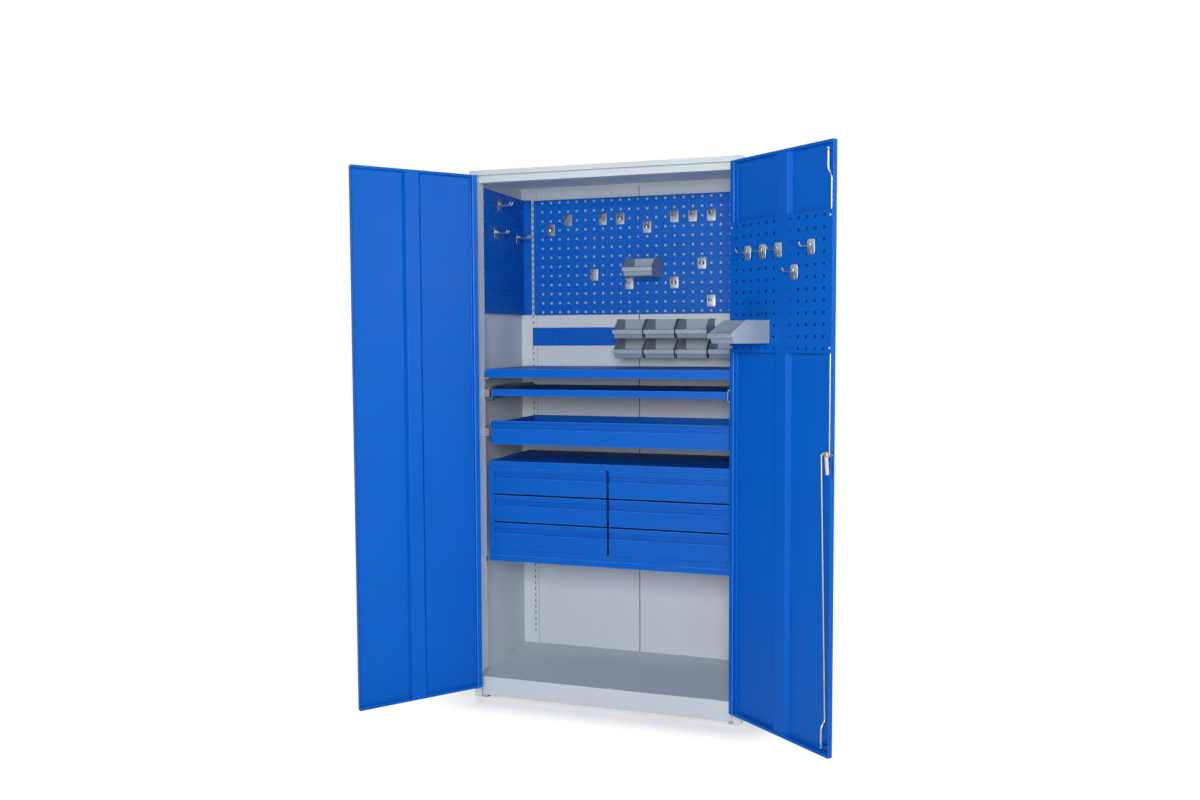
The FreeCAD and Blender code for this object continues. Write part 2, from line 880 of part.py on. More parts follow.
def door_pan():
    """Outer skin with its edges folded in, and a closed box section along the hinge edge."""
    s = door_sheet
    w = door_width
    d = door_depth
    pan = joined([
        door_block(0, w, 0, s, door_bottom, door_top),
        door_block(0, s, 0, d, door_bottom, door_top),
        door_block(0, door_box_width, d - s, d, door_bottom, door_top),
        door_block(door_box_width - s, door_box_width, 0, d, door_bottom, door_top),
        door_block(w - s, w, 0, d, door_bottom, door_top),
        door_block(0, w, 0, d, door_bottom, door_bottom + s),
        door_block(0, w, 0, d, door_top - s, door_top),
    ])
    low = lock_z - tongue_length - overrun
    high = lock_z + tongue_half_width + overrun
    slot = door_block(w - s - overrun, w + overrun, tongue_offset - tongue_slot_clearance,
                      tongue_offset + tongue_sheet + tongue_slot_clearance, low, high)
    return pan.cut(slot)


def bolt_places():
    """Where the perforated panel is bolted to the right door, as (u, z)."""
    us = (door_bolt_inset, door_panel_inset + door_panel_width - door_bolt_edge)
    zs = (door_panel_bottom + door_bolt_height, door_panel_bottom + door_panel_height - door_bolt_height)
    return [(u, z) for u in us for z in zs]


def right_door_pan():
    """The right-hand pan, with tabs for the tool panel and holes for bolts and lock."""
    pieces = [door_pan()]
    for u, z in bolt_places()[2:]:
        pieces.append(door_block(door_width - tab_width, door_width, door_depth - door_sheet, door_depth,
                                 z - tab_height / 2, z + tab_height / 2))
    pan = joined(pieces)
    for u, z in bolt_places():
        pan = pan.cut(rod(on_door(u, door_depth - door_sheet - overrun / 2, z),
                          on_door(u, door_depth + overrun, z), bolt_radius + pin_clearance))
    bush = rod(on_door(lock_u, -overrun, lock_z), on_door(lock_u, overrun / 2, lock_z),
               lock_bush_radius + pin_clearance)
    return pan.cut(bush)


def stiffener():
    """A hat-shaped rib down the door, its two long edges welded to the skin."""
    s = door_sheet
    top = door_depth - stiffener_clearance
    z0 = door_bottom + s
    z1 = door_top - s
    u0 = stiffener_distance
    u1 = u0 + stiffener_width
    slope = stiffener_slope
    outer = [on_door(u0, s, z0), on_door(u0 + slope, top, z0),
             on_door(u1 - slope, top, z0), on_door(u1, s, z0)]
    inner = [on_door(u0 + s, s, z0), on_door(u0 + slope + s, top - s, z0),
             on_door(u1 - slope - s, top - s, z0), on_door(u1 - s, s, z0)]
    return prism(outer + inner[::-1], V(0, 0, z1 - z0))


def knuckle(z0, z1, pad_side, bore_bottom):
    """One barrel of a hinge with the pad that is welded to the door or to the upright."""
    axis = V(hinge_x, hinge_y, 0)
    barrel = rod(axis + V(0, 0, z0), axis + V(0, 0, z1), hinge_radius)
    if pad_side > 0:
        pad = block(hinge_x, hinge_x + pad_width, hinge_y, front, z0, z1)
    else:
        pad = block(hinge_x - pad_width, hinge_x, hinge_y, front, z0, z1)
    bore = rod(axis + V(0, 0, bore_bottom), axis + V(0, 0, z1 + overrun), pin_radius + pin_clearance)
    return joined([barrel, pad]).cut(bore)


def fixed_knuckles():
    pieces = []
    for z in hinge_heights:
        piece = knuckle(z - hinge_half_length, z, 1, z - hinge_half_length + pin_seat)
        pieces.append(piece)
        pieces.append(mirrored(piece))
    return Part.makeCompound(pieces)


def hinge_pins():
    pieces = []
    axis = V(hinge_x, hinge_y, 0)
    for z in hinge_heights:
        z0 = z - hinge_half_length + pin_seat
        z1 = z + hinge_gap + hinge_half_length
        pin = rod(axis + V(0, 0, z0), axis + V(0, 0, z1), pin_radius)
        pieces.append(pin)
        pieces.append(mirrored(pin))
    return Part.makeCompound(pieces)


def door_knuckles():
    pieces = []
    for z in hinge_heights:
        z0 = z + hinge_gap
        pieces.append(knuckle(z0, z0 + hinge_half_length, -1, z0 - overrun))
    return Part.makeCompound(pieces)


def door_pegboard():
    z0 = door_panel_bottom
    z1 = z0 + door_panel_height
    x0 = hinge_edge() - door_panel_inset - door_panel_width
    x1 = hinge_edge() - door_panel_inset
    panel = plate_across(x0, x1, z0, z1, front + door_depth, sheet, hole_grid(x0, x1, z0, z1))
    for u, z in bolt_places():
        hole = rod(on_door(u, 0, z), on_door(u, door_depth + overrun, z), bolt_radius + pin_clearance)
        panel = panel.cut(hole)
    return panel


def door_pegboard_bolts():
    pieces = []
    face = door_depth + sheet
    for u, z in bolt_places():
        pieces.append(joined([
            rod(on_door(u, face, z), on_door(u, face + bolt_head_height, z), bolt_head_radius),
            rod(on_door(u, door_depth - bolt_below, z), on_door(u, face + bolt_head_height, z), bolt_radius),
        ]))
    return Part.makeCompound(pieces)


# Hooks and clips, drawn on a panel whose face is the XZ plane, reaching towards -Y

def base_plate():
    return block(-plate_width / 2, plate_width / 2, -plate_sheet, 0, -plate_height / 2, plate_height / 2)


def prong(x, z):
    reach = V(x, -prong_length, z)
    tip = V(x, -prong_length - prong_tip / 2, z + prong_tip)
    return [rod(V(x, -plate_sheet / 2, z), reach, prong_radius),
            Part.makeSphere(prong_radius, reach),
            rod(reach, tip, prong_radius)]


def single_hook():
    return joined([base_plate()] + prong(0, 0))


def double_hook():
    return joined([base_plate()] + prong(-prong_spread, 0) + prong(prong_spread, 0))


def spring_clip():
    """A plate with a round spring clip that is open at the front."""
    centre = V(0, -plate_sheet - clip_ring_radius + clip_ring_wall / 2, 0)
    up = V(0, 0, clip_ring_depth / 2)
    ring = rod(centre - up, centre + up, clip_ring_radius)
    past = V(0, 0, overrun)
    hollow = rod(centre - up - past, centre + up + past, clip_ring_radius - clip_ring_wall)
    mouth = block(-clip_ring_mouth / 2, clip_ring_mouth / 2,
                  centre.y - clip_ring_radius - overrun, centre.y, -clip_ring_depth, clip_ring_depth)
    return joined([base_plate(), ring.cut(hollow).cut(mouth)])


# Places on the perforated panels, as shares of half the panel's width and height from its middle
rear_hook_shares = ((-0.664, 0.633), (-0.332, 0.633), (0.332, 0.633), (0.498, 0.633), (0.664, 0.633),
                    (-0.415, -0.317), (-0.083, -0.475), (0.664, -0.792))
rear_clip_shares = ((-0.83, 0.475), (-0.166, 0.633), (0.083, 0.475), (0.332, -0.475), (0.581, -0.158))
side_hook_shares = ((-0.175, 0.788), (-0.351, 0.315), (0.702, 0.315))
door_hook_shares = ((-0.631, 0.509), (-0.315, 0.509), (0.0, 0.509), (0.631, 0.509), (0.315, 0.17))


def snapped(share, size):
    """The distance from a panel's middle that a share gives, moved to a whole number of pitches."""
    return hole_pitch * round(share * size / 2 / hole_pitch)


def rear_place(across, up):
    z_mid = (rear_panel_bottom + rear_panel_top) / 2
    return V(snapped(across, rear_panel_half * 2), rear_face - rear_panel_standoff,
             z_mid + snapped(up, rear_panel_top - rear_panel_bottom))


def panel_hooks():
    """Hooks and clips on the rear panel, then the hooks on the left wall's panel."""
    pieces = []
    for across, up in rear_hook_shares:
        piece = single_hook()
        piece.translate(rear_place(across, up))
        pieces.append(piece)
    for across, up in rear_clip_shares:
        piece = spring_clip()
        piece.translate(rear_place(across, up))
        pieces.append(piece)
    y0 = front + side_panel_setback
    y1 = rear_face - rear_panel_standoff + sheet
    z_mid = (side_panel_bottom + side_panel_top) / 2
    for across, up in side_hook_shares:
        piece = double_hook()
        piece.rotate(V(0, 0, 0), V(0, 0, 1), 90)
        piece.translate(V(-side + sheet + side_panel_standoff, (y0 + y1) / 2 + snapped(across, y1 - y0),
                          z_mid + snapped(up, side_panel_top - side_panel_bottom)))
        pieces.append(piece)
    return Part.makeCompound(pieces)


def face_into_door(shape, u, offset, z):
    """Turns a piece that reaches towards -Y so that it reaches into the cabinet from the door."""
    shape.rotate(V(0, 0, 0), V(0, 0, 1), 180)
    shape.translate(on_door(u, offset, z))
    return shape


def door_hooks():
    pieces = []
    u_mid = door_panel_inset + door_panel_width / 2
    z_mid = door_panel_bottom + door_panel_height / 2
    for across, up in door_hook_shares:
        u = u_mid + snapped(across, door_panel_width)
        z = z_mid + snapped(up, door_panel_height)
        pieces.append(face_into_door(single_hook(), u, door_depth + sheet, z))
    return Part.makeCompound(pieces)


def door_bin():
    u = door_bin_inset + bin_width / 2
    return face_into_door(hung_bin(), u, door_depth + sheet, door_bin_bottom)


# Lock, its rods and its handle

def pivot_place(sign, offset):
    """A rod's pivot on the cam: +1 is the upper rod's, beyond the spindle, -1 the lower rod's."""
    return on_door(lock_u + sign * cam_radius, offset, lock_z)


def lock_cam():
    """The double lever on the spindle, with a pivot hole at each end."""
    o0 = cam_offset
    o1 = cam_offset + cam_sheet
    pieces = [rod(on_door(lock_u, o0, lock_z), on_door(lock_u, o1, lock_z), cam_half_width * 1.5)]
    pieces.append(door_block(lock_u - cam_radius, lock_u + cam_radius, o0, o1,
                             lock_z - cam_half_width, lock_z + cam_half_width))
    for sign in (-1, 1):
        pieces.append(rod(pivot_place(sign, o0), pivot_place(sign, o1), cam_half_width))
    cam = joined(pieces)
    for sign in (-1, 1):
        cam = cam.cut(rod(pivot_place(sign, o0 - overrun), pivot_place(sign, o1 + overrun),
                          pivot_radius + pivot_clearance))
    spindle = rod(on_door(lock_u, o0 - overrun, lock_z), on_door(lock_u, o1 + overrun, lock_z),
                  spindle_radius)
    return cam.cut(spindle)


def lock_tongue():
    """The bolt that swings behind the other door's edge, hanging down when unlocked."""
    o0 = tongue_offset
    o1 = tongue_offset + tongue_sheet
    base = cam_offset + cam_sheet
    hub = rod(on_door(lock_u, base, lock_z), on_door(lock_u, o1, lock_z), cam_half_width * 1.3)
    end_z = lock_z - tongue_length + tongue_half_width
    bar = door_block(lock_u - tongue_half_width, lock_u + tongue_half_width, o0, o1, end_z, lock_z)
    tip = rod(on_door(lock_u, o0, end_z), on_door(lock_u, o1, end_z), tongue_half_width)
    tongue = joined([hub, bar, tip])
    return tongue.cut(rod(on_door(lock_u, 0, lock_z), on_door(lock_u, o1 + overrun, lock_z), spindle_radius))


def lock_screw():
    o0 = tongue_offset + tongue_sheet
    o1 = o0 + lock_screw_height
    return rod(on_door(lock_u, o0, lock_z), on_door(lock_u, o1, lock_z), lock_screw_radius)


def lock_plate():
    """Escutcheon on the outer face, with the bush that the spindle turns in."""
    o0 = -lock_plate_sheet
    half = lock_plate_width / 2
    low = lock_z - lock_plate_height * plate_drop_share
    plate = door_block(lock_u - half, lock_u + half, o0, 0, low, low + lock_plate_height)
    bush = rod(on_door(lock_u, o0, lock_z), on_door(lock_u, cam_offset - handle_gap, lock_z),
               lock_bush_radius)
    bore = rod(on_door(lock_u, o0 - overrun, lock_z), on_door(lock_u, cam_offset + overrun, lock_z),
               spindle_radius + spindle_clearance)
    return joined([plate, bush]).cut(bore)


def lock_handle():
    """The turning handle outside with its key cylinder, in one with the spindle."""
    base = -lock_plate_sheet - handle_gap
    outer = base - handle_hub_depth
    half = handle_width / 2
    inner_face = outer + handle_thickness
    end_z = lock_z - handle_length + half
    spindle_end = tongue_offset + tongue_sheet
    return joined([
        rod(on_door(lock_u, outer, lock_z), on_door(lock_u, base, lock_z), handle_hub_radius),
        rod(on_door(lock_u, outer - cylinder_depth, lock_z), on_door(lock_u, outer, lock_z),
            cylinder_radius),
        door_block(lock_u - half, lock_u + half, outer, inner_face, end_z, lock_z),
        rod(on_door(lock_u, outer, end_z), on_door(lock_u, inner_face, end_z), half),
        rod(on_door(lock_u, base, lock_z), on_door(lock_u, spindle_end, lock_z), spindle_radius),
    ])


def bent_rod(points, pin_end):
    """A round rod through the points, with the hooked end that turns in the cam."""
    pieces = []
    for start, end in zip(points, points[1:]):
        pieces.append(rod(start, end, rod_radius))
    for corner in points[:-1]:
        pieces.append(Part.makeSphere(rod_radius, corner))
    pieces.append(rod(pin_end, points[0], pivot_radius))
    return joined(pieces)


def upper_rod():
    u = lock_u + cam_radius
    points = [on_door(u, rod_offset, lock_z), on_door(u, rod_offset, upper_jog_z),
              on_door(u, rod_end_offset, upper_jog_z + jog_height), on_door(u, rod_end_offset, upper_tip_z)]
    return bent_rod(points, on_door(u, cam_offset - front_gap / 2, lock_z))


def lower_rod():
    u = lock_u - cam_radius
    points = [on_door(u, rod_offset, lock_z), on_door(lower_tip_u, rod_offset, lower_jog_z),
              on_door(lower_tip_u, rod_end_offset, lower_jog_z - jog_height),
              on_door(lower_tip_u, rod_end_offset, lower_tip_z)]
    return bent_rod(points, on_door(u, cam_offset - front_gap / 2, lock_z))


def guide(u, z):
    """A bracket across the rod near its tip, with a long hole for the rod's sideways play."""
    u1 = door_width - door_sheet
    plate = door_block(u - guide_half_width - rod_play, u1, door_sheet, guide_reach, z, z + guide_sheet)
    foot = door_block(u - guide_half_width - rod_play, u1, door_sheet, door_sheet + guide_sheet,
                      z, z + guide_half_width)
    half = rod_radius + rod_play
    half_offset = rod_radius + catch_margin / 3
    hole = door_block(u - half, u + half, rod_end_offset - half_offset, rod_end_offset + half_offset,
                      z - overrun, z + overrun)
    return joined([plate, foot]).cut(hole)


def rod_guides():
    upper = guide(lock_u + cam_radius, upper_tip_z - guide_gap - guide_sheet)
    lower = guide(lower_tip_u, lower_tip_z + guide_gap)
    return Part.makeCompound([upper, lower])


# Writing the pieces

def swung(shape, angle):
    """Opens a piece of the right-hand door about the hinge."""
    opened = shape.copy()
    opened.rotate(V(hinge_x, hinge_y, 0), V(0, 0, 1), angle)
    return opened


def write(name, shape):
    shape.exportStep("parts/" + name + ".step")


def write_carcass():
    right_side = side_panel()
    write("right_side_panel", right_side)
    write("left_side_panel", mirrored(right_side))
    right_back = back_panel()
    write("back_panel_right", right_back)
    write("back_panel_left", mirrored(right_back))
    write("roof", roof())
    write("head_rail", head_rail())
    write("floor_pan", floor_pan())
    write("plinth", plinth())
    write("levelling_feet", levelling_feet())
    write("hinge_knuckles_fixed", fixed_knuckles())
    write("hinge_pins", hinge_pins())


def write_fittings():
    write("rear_pegboard", rear_pegboard())
    write("side_pegboard", side_pegboard())
    write("bin_rail", bin_rail())
    write("fixed_shelf", fixed_shelf())
    write("block_shelf", block_shelf())
    write("shelf_clips", shelf_clips())
    write("slide_brackets", slide_brackets())
    write("slide_outers", slide_outers())
    write("panel_hooks", panel_hooks())
    write("panel_bin", panel_bin())
    for i in range(lower_bins):
        write("lower_bin_%d" % (i + 1), rail_bin(0, i))
    for i in range(upper_bins):
        write("upper_bin_%d" % (i + 1), rail_bin(1, i))


def write_drawers():
    write("pullout_shelf", pullout_shelf())
    write("pullout_slide_middles", Part.makeCompound(slide_member(1, pullout_slide_z, slide_setback)))
    write("pullout_slide_inners", Part.makeCompound(slide_member(2, pullout_slide_z, slide_setback)))
    write("wide_drawer", wide_drawer())
    write("wide_slide_middles", Part.makeCompound(slide_member(1, wide_slide_z, wide_setback())))
    write("wide_slide_inners", Part.makeCompound(slide_member(2, wide_slide_z, wide_setback())))
    write("drawer_casing", drawer_casing())
    write("casing_runners", casing_runners())
    for row in range(drawer_rows):
        drawer = small_drawer(row)
        write("drawer_right_%d" % (row + 1), drawer)
        write("drawer_left_%d" % (row + 1), mirrored(drawer))


def write_doors():
    write("left_door_panel", mirrored(swung(door_pan(), left_rest_angle)))
    write("left_door_stiffener", mirrored(swung(stiffener(), left_rest_angle)))
    write("left_door_knuckles", mirrored(swung(door_knuckles(), left_rest_angle)))
    right_pieces = {
        "right_door_panel": right_door_pan(),
        "right_door_stiffener": stiffener(),
        "right_door_knuckles": door_knuckles(),
        "door_pegboard": door_pegboard(),
        "door_pegboard_bolts": door_pegboard_bolts(),
        "door_hooks": door_hooks(),
        "door_bin": door_bin(),
        "rod_guides": rod_guides(),
        "lock_plate": lock_plate(),
        "lock_handle": lock_handle(),
        "lock_cam": lock_cam(),
        "lock_tongue": lock_tongue(),
        "lock_screw": lock_screw(),
        "upper_rod": upper_rod(),
        "lower_rod": lower_rod(),
    }
    for name, shape in right_pieces.items():
        write(name, swung(shape, right_rest_angle))


os.makedirs("parts", exist_ok=True)
write_carcass()
write_fittings()
write_drawers()
write_doors()
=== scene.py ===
# %% [markdown]
# A workshop cabinet with open doors
#
# The cabinet's sheet metal is already modelled as a fixed frame: every panel, shelf, drawer and
# rod is there at its real size. This lesson dresses it: first the paints, metals and plastics,
# then the pieces whose real shape is too soft or too fine for flat-sided solids, and last the
# light. The frame also says which body each piece moves with.

# %% The frame
import bmesh
import bpy
import json
import math
from mathutils import Matrix, Vector


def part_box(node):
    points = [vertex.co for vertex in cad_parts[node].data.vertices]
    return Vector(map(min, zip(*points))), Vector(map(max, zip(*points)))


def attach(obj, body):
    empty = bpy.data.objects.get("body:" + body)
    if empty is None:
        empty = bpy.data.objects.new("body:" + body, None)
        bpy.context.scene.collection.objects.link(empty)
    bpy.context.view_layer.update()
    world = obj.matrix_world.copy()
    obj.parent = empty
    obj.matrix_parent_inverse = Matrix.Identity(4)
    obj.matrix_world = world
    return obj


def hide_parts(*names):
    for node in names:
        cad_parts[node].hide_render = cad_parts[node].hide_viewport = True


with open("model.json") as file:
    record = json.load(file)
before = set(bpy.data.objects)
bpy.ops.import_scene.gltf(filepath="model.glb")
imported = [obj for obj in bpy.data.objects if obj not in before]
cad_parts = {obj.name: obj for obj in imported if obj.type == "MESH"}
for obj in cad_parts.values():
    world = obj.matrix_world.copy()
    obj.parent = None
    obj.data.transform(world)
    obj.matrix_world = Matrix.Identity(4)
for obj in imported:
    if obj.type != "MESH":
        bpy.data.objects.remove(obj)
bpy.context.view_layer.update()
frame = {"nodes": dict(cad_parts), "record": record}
NODES = frame["nodes"]
BODIES = frame["record"]["behaviour"]["bodies"]
BODY_OF = {node: body for body, members in BODIES.items() for node in members}
MM = 0.001

# %% [markdown]
# Colours are written as the hex values that a paint shop or a picture editor shows. Blender
# computes with linear light, so one function turns each value into linear numbers. Every
# material is a small graph of nodes, and one function adds a node, sets its values and joins
# its inputs.

# %% Colour and node helpers
def linear(hex_colour):
    """An sRGB hex value as the linear red, green, blue and alpha that a shader takes."""
    parts = [int(hex_colour[i:i + 2], 16) / 255 for i in (1, 3, 5)]
    return [c / 12.92 if c <= 0.04045 else ((c + 0.055) / 1.055) ** 2.4 for c in parts] + [1.0]


def node(tree, kind, settings=None, **inputs):
    """Adds a node. Inputs are values, or sockets to link; names use _ for a space."""
    made = tree.nodes.new(kind)
    for key, value in (settings or {}).items():
        setattr(made, key, value)
    for key, value in inputs.items():
        number = key[1:] if key[0] == "i" and key[1:].isdigit() else None
        socket = made.inputs[int(number)] if number else made.inputs[key.replace("_", " ")]
        if isinstance(value, bpy.types.NodeSocket):
            tree.links.new(value, socket)
        else:
            socket.default_value = value
    return made


def blank_material(name):
    """An empty material with its output node, ready for a shader."""
    material = bpy.data.materials.new(name)
    material.use_nodes = True
    material.node_tree.nodes.clear()
    output = material.node_tree.nodes.new("ShaderNodeOutputMaterial")
    return material, material.node_tree, output


def tint(hex_colour, factor):
    """The colour made lighter or darker by a factor in linear light."""
    return [min(1.0, c * factor) for c in linear(hex_colour)[:3]] + [1.0]


print("blue paint in linear light:", [round(c, 4) for c in linear("#005CBC")])

# %% [markdown]
# Powder coat is a plastic powder that is sprayed on the bare steel and baked. It flows into a
# film that is smooth but never flat: seen close, it has a shallow skin like an orange's, about
# 2 mm from bump to bump. That gives it a soft gloss with broken highlights. A cabinet in a
# workshop also gathers a little dust and hand grease, so the gloss and the tone drift over a
# hand's width. On an outside fold the coat is made smoother and glossier, and a tone lighter as
# a painted highlight. In a closed box and in a joint between two sheets, a dark grey steel is
# painted as the shade that falls there.

# %% Powder coat
PEEL = 2.2 * MM
DRIFT = 180 * MM
EDGE_RADIUS = 0.9 * MM
EDGE_RAYS = 4
COAT_TONES = (0.93, 1.07)
NOISE_LOW, NOISE_HIGH = 0.3, 0.7


def powder_coat(name, colour, roughness, sheen, peel_height):
    """Baked powder paint on folded steel: soft gloss, orange-peel skin, slow drift of tone."""
    material, tree, output = blank_material(name)
    place = node(tree, "ShaderNodeTexCoord").outputs["Object"]
    drift = node(tree, "ShaderNodeTexNoise", Vector=place, Scale=1 / DRIFT, Detail=3.0,
                 Roughness=0.55)
    tone = node(tree, "ShaderNodeMix", {"data_type": "RGBA"}, i0=drift.outputs["Fac"],
                i6=tint(colour, COAT_TONES[0]), i7=tint(colour, COAT_TONES[1]))
    gloss = node(tree, "ShaderNodeMapRange", Value=drift.outputs["Fac"],
                 From_Min=NOISE_LOW, From_Max=NOISE_HIGH,
                 To_Min=roughness - 0.04, To_Max=roughness + 0.05)
    peel = node(tree, "ShaderNodeTexNoise", Vector=place, Scale=1 / PEEL, Detail=2.0)
    edge = node(tree, "ShaderNodeBevel", {"samples": EDGE_RAYS}, Radius=EDGE_RADIUS)
    bump = node(tree, "ShaderNodeBump", Height=peel.outputs["Fac"], Strength=0.35,
                Distance=peel_height, Normal=edge.outputs["Normal"])
    shader = node(tree, "ShaderNodeBsdfPrincipled", Base_Color=tone.outputs[2],
                  Roughness=gloss.outputs["Result"], IOR=1.5, Specular_IOR_Level=sheen,
                  Normal=bump.outputs["Normal"])
    tree.links.new(shader.outputs["BSDF"], output.inputs["Surface"])
    return material


blue_coat = powder_coat("blue_powder_coat", "#005CBC", 0.42, 0.14, 0.05 * MM)
grey_coat = powder_coat("light_grey_powder_coat", "#CBD2D6", 0.48, 0.3, 0.05 * MM)
# The coats for folds are a tone lighter, a painted highlight on the rounded edges.
blue_fold_highlight = powder_coat("blue_powder_coat_painted_highlight", "#1F78E0", 0.3, 0.5, 0.02 * MM)
grey_fold_highlight = powder_coat("light_grey_powder_coat_painted_highlight", "#D3D9DC", 0.36, 0.4, 0.02 * MM)
# A dark grey that paints the shade in joints and closed boxes.
painted_shade_steel = powder_coat("dark_steel_painted_shade", "#4C5256", 0.6, 0.1, 0.02 * MM)
print("paints:", blue_coat.name, grey_coat.name, painted_shade_steel.name)

# %% [markdown]
# Zinc plate is a thin bright metal skin on steel wire and pressed parts. It is grown in a bath,
# so it has no brushing lines, only a faint cloudiness a few millimetres across. Metals keep
# Blender's default IOR: their colour says how they reflect.

# %% Zinc plate and turned steel
CLOUD = 6 * MM
METAL_EDGE = 0.4 * MM
METAL_TONES = (0.85, 1.08)


def plated_metal(name, colour, roughness):
    """Bright plated or turned metal with cloudy patches in its gloss."""
    material, tree, output = blank_material(name)
    place = node(tree, "ShaderNodeTexCoord").outputs["Object"]
    cloud = node(tree, "ShaderNodeTexNoise", Vector=place, Scale=1 / CLOUD, Detail=4.0)
    tone = node(tree, "ShaderNodeMix", {"data_type": "RGBA"}, i0=cloud.outputs["Fac"],
                i6=tint(colour, METAL_TONES[0]), i7=tint(colour, METAL_TONES[1]))
    gloss = node(tree, "ShaderNodeMapRange", Value=cloud.outputs["Fac"],
                 From_Min=NOISE_LOW, From_Max=NOISE_HIGH,
                 To_Min=roughness - 0.06, To_Max=roughness + 0.10)
    edge = node(tree, "ShaderNodeBevel", {"samples": EDGE_RAYS}, Radius=METAL_EDGE)
    shader = node(tree, "ShaderNodeBsdfPrincipled", Base_Color=tone.outputs[2], Metallic=1.0,
                  Roughness=gloss.outputs["Result"], Normal=edge.outputs["Normal"])
    tree.links.new(shader.outputs["BSDF"], output.inputs["Surface"])
    return material


zinc = plated_metal("zinc_plate", "#AEB1B4", 0.38)
turned_steel = plated_metal("turned_steel", "#B4B5B7", 0.28)
brass = plated_metal("yellow_passivated_screw", "#C9963F", 0.35)
print("metals:", zinc.name, turned_steel.name, brass.name)

# %% [markdown]
# The bins are polypropylene, pressed into a mould with a fine matt grain of about a third of a
# millimetre. The grain is too fine to show at this distance, so it is drawn twice as coarse.
# The handle and feet are harder, smoother plastics, and the lock's tongue has a glossy cream
# coat.

# %% Moulded plastics
GRAIN = 0.7 * MM
FLOW = 60 * MM
MOULD_EDGE = 0.8 * MM
PLASTIC_TONES = (0.94, 1.06)


def moulded_plastic(name, colour, roughness, grain_height):
    """Injection-moulded plastic with the matt grain of its mould."""
    material, tree, output = blank_material(name)
    place = node(tree, "ShaderNodeTexCoord").outputs["Object"]
    grain = node(tree, "ShaderNodeTexNoise", Vector=place, Scale=1 / GRAIN, Detail=2.0)
    flow = node(tree, "ShaderNodeTexNoise", Vector=place, Scale=1 / FLOW, Detail=2.0)
    tone = node(tree, "ShaderNodeMix", {"data_type": "RGBA"}, i0=flow.outputs["Fac"],
                i6=tint(colour, PLASTIC_TONES[0]), i7=tint(colour, PLASTIC_TONES[1]))
    edge = node(tree, "ShaderNodeBevel", {"samples": EDGE_RAYS}, Radius=MOULD_EDGE)
    bump = node(tree, "ShaderNodeBump", Height=grain.outputs["Fac"], Strength=0.4,
                Distance=grain_height, Normal=edge.outputs["Normal"])
    shader = node(tree, "ShaderNodeBsdfPrincipled", Base_Color=tone.outputs[2],
                  Roughness=roughness, IOR=1.49, Normal=bump.outputs["Normal"])
    tree.links.new(shader.outputs["BSDF"], output.inputs["Surface"])
    return material


bin_plastic = moulded_plastic("grey_polypropylene", "#93A0AD", 0.42, 0.05 * MM)
black_plastic = moulded_plastic("black_nylon", "#1B1B1C", 0.4, 0.04 * MM)
cream_plastic = moulded_plastic("cream_coated_tongue", "#E3DDC8", 0.28, 0.01 * MM)
print("plastics:", bin_plastic.name, black_plastic.name, cream_plastic.name)

# %% [markdown]
# The record of the cabinet names a material slot for each piece. Assigning by slot keeps the
# whole cabinet consistent: all blue sheet gets one paint, and all wire gets one plate.

# %% Materials on the frame's own pieces
MATERIALS = {
    "blue_paint": blue_coat,
    "carcass_paint": grey_coat,
    "zinc": zinc,
    "pin_steel": turned_steel,
    "bin_plastic": bin_plastic,
    "black_plastic": black_plastic,
    "tongue_plastic": cream_plastic,
    "brass_screw": brass,
}
SLOT_OF = {entry["node"]: entry["material_slot"] for entry in frame["record"]["subparts"]}
for name, piece in NODES.items():
    piece.data.materials.clear()
    piece.data.materials.append(MATERIALS[SLOT_OF[name]])
print("dressed", len(NODES), "pieces in", len(set(SLOT_OF.values())), "materials")

# %% [markdown]
# A press brake can't fold steel to a sharp corner: the outside of a 1 mm fold has a radius of
# about 1.6 mm and the inside about 0.6 mm, while a cut edge has only its burr taken off. Those
# radii catch the thin bright lines that make sheet metal look folded. So each edge gets a weight
# by what it is. Where a face reaches less than 3 mm from an edge, it is the sheet's own thickness,
# and the edge is a cut one.

# %% What kind of edge it is
SHARP = math.radians(30)
WIDE = 3.0 * MM
CUT_SHARE = 0.15
INNER_SHARE = 0.4


def across(face, edge):
    """How far a face reaches from one of its edges."""
    start = edge.verts[0].co
    along = (edge.verts[1].co - start).normalized()
    reach = [((v.co - start) - along * (v.co - start).dot(along)).length for v in face.verts]
    return max(reach)


def edge_share(edge):
    """The share of the full fold radius for a fold, an inner corner, a cut edge or none."""
    if len(edge.link_faces) != 2 or edge.calc_face_angle() < SHARP:
        return 0.0
    if min(across(face, edge) for face in edge.link_faces) < WIDE:
        return CUT_SHARE
    return 1.0 if edge.is_convex else INNER_SHARE


print("a cut edge gets", CUT_SHARE, "and an inner corner", INNER_SHARE, "of the fold's radius")

# %% [markdown]
# Each folded piece gets a copy with weighted edges, and a bevel modifier rounds each edge by its
# weight. The copy stands for the piece: it rides on the same body, replaces it in the picture and
# keeps its slot. Faces that lie flat beside each other are merged first, so that the bevel meets
# no needless edges. The modifier can give its new faces a second material: by default a lighter
# coat that paints a highlight on the folds, or a given one.

# %% Rounded copies
# Lighter coats that paint a highlight on the rounded folds.
FOLD_HIGHLIGHTS = {"blue_paint": blue_fold_highlight, "carcass_paint": grey_fold_highlight}
SAME_PLACE = 0.01 * MM
FLAT = math.radians(1)


def placed(name, data):
    """A new object in the scene for a mesh, a lamp or a camera."""
    thing = bpy.data.objects.new(name, data)
    bpy.context.scene.collection.objects.link(thing)
    return thing


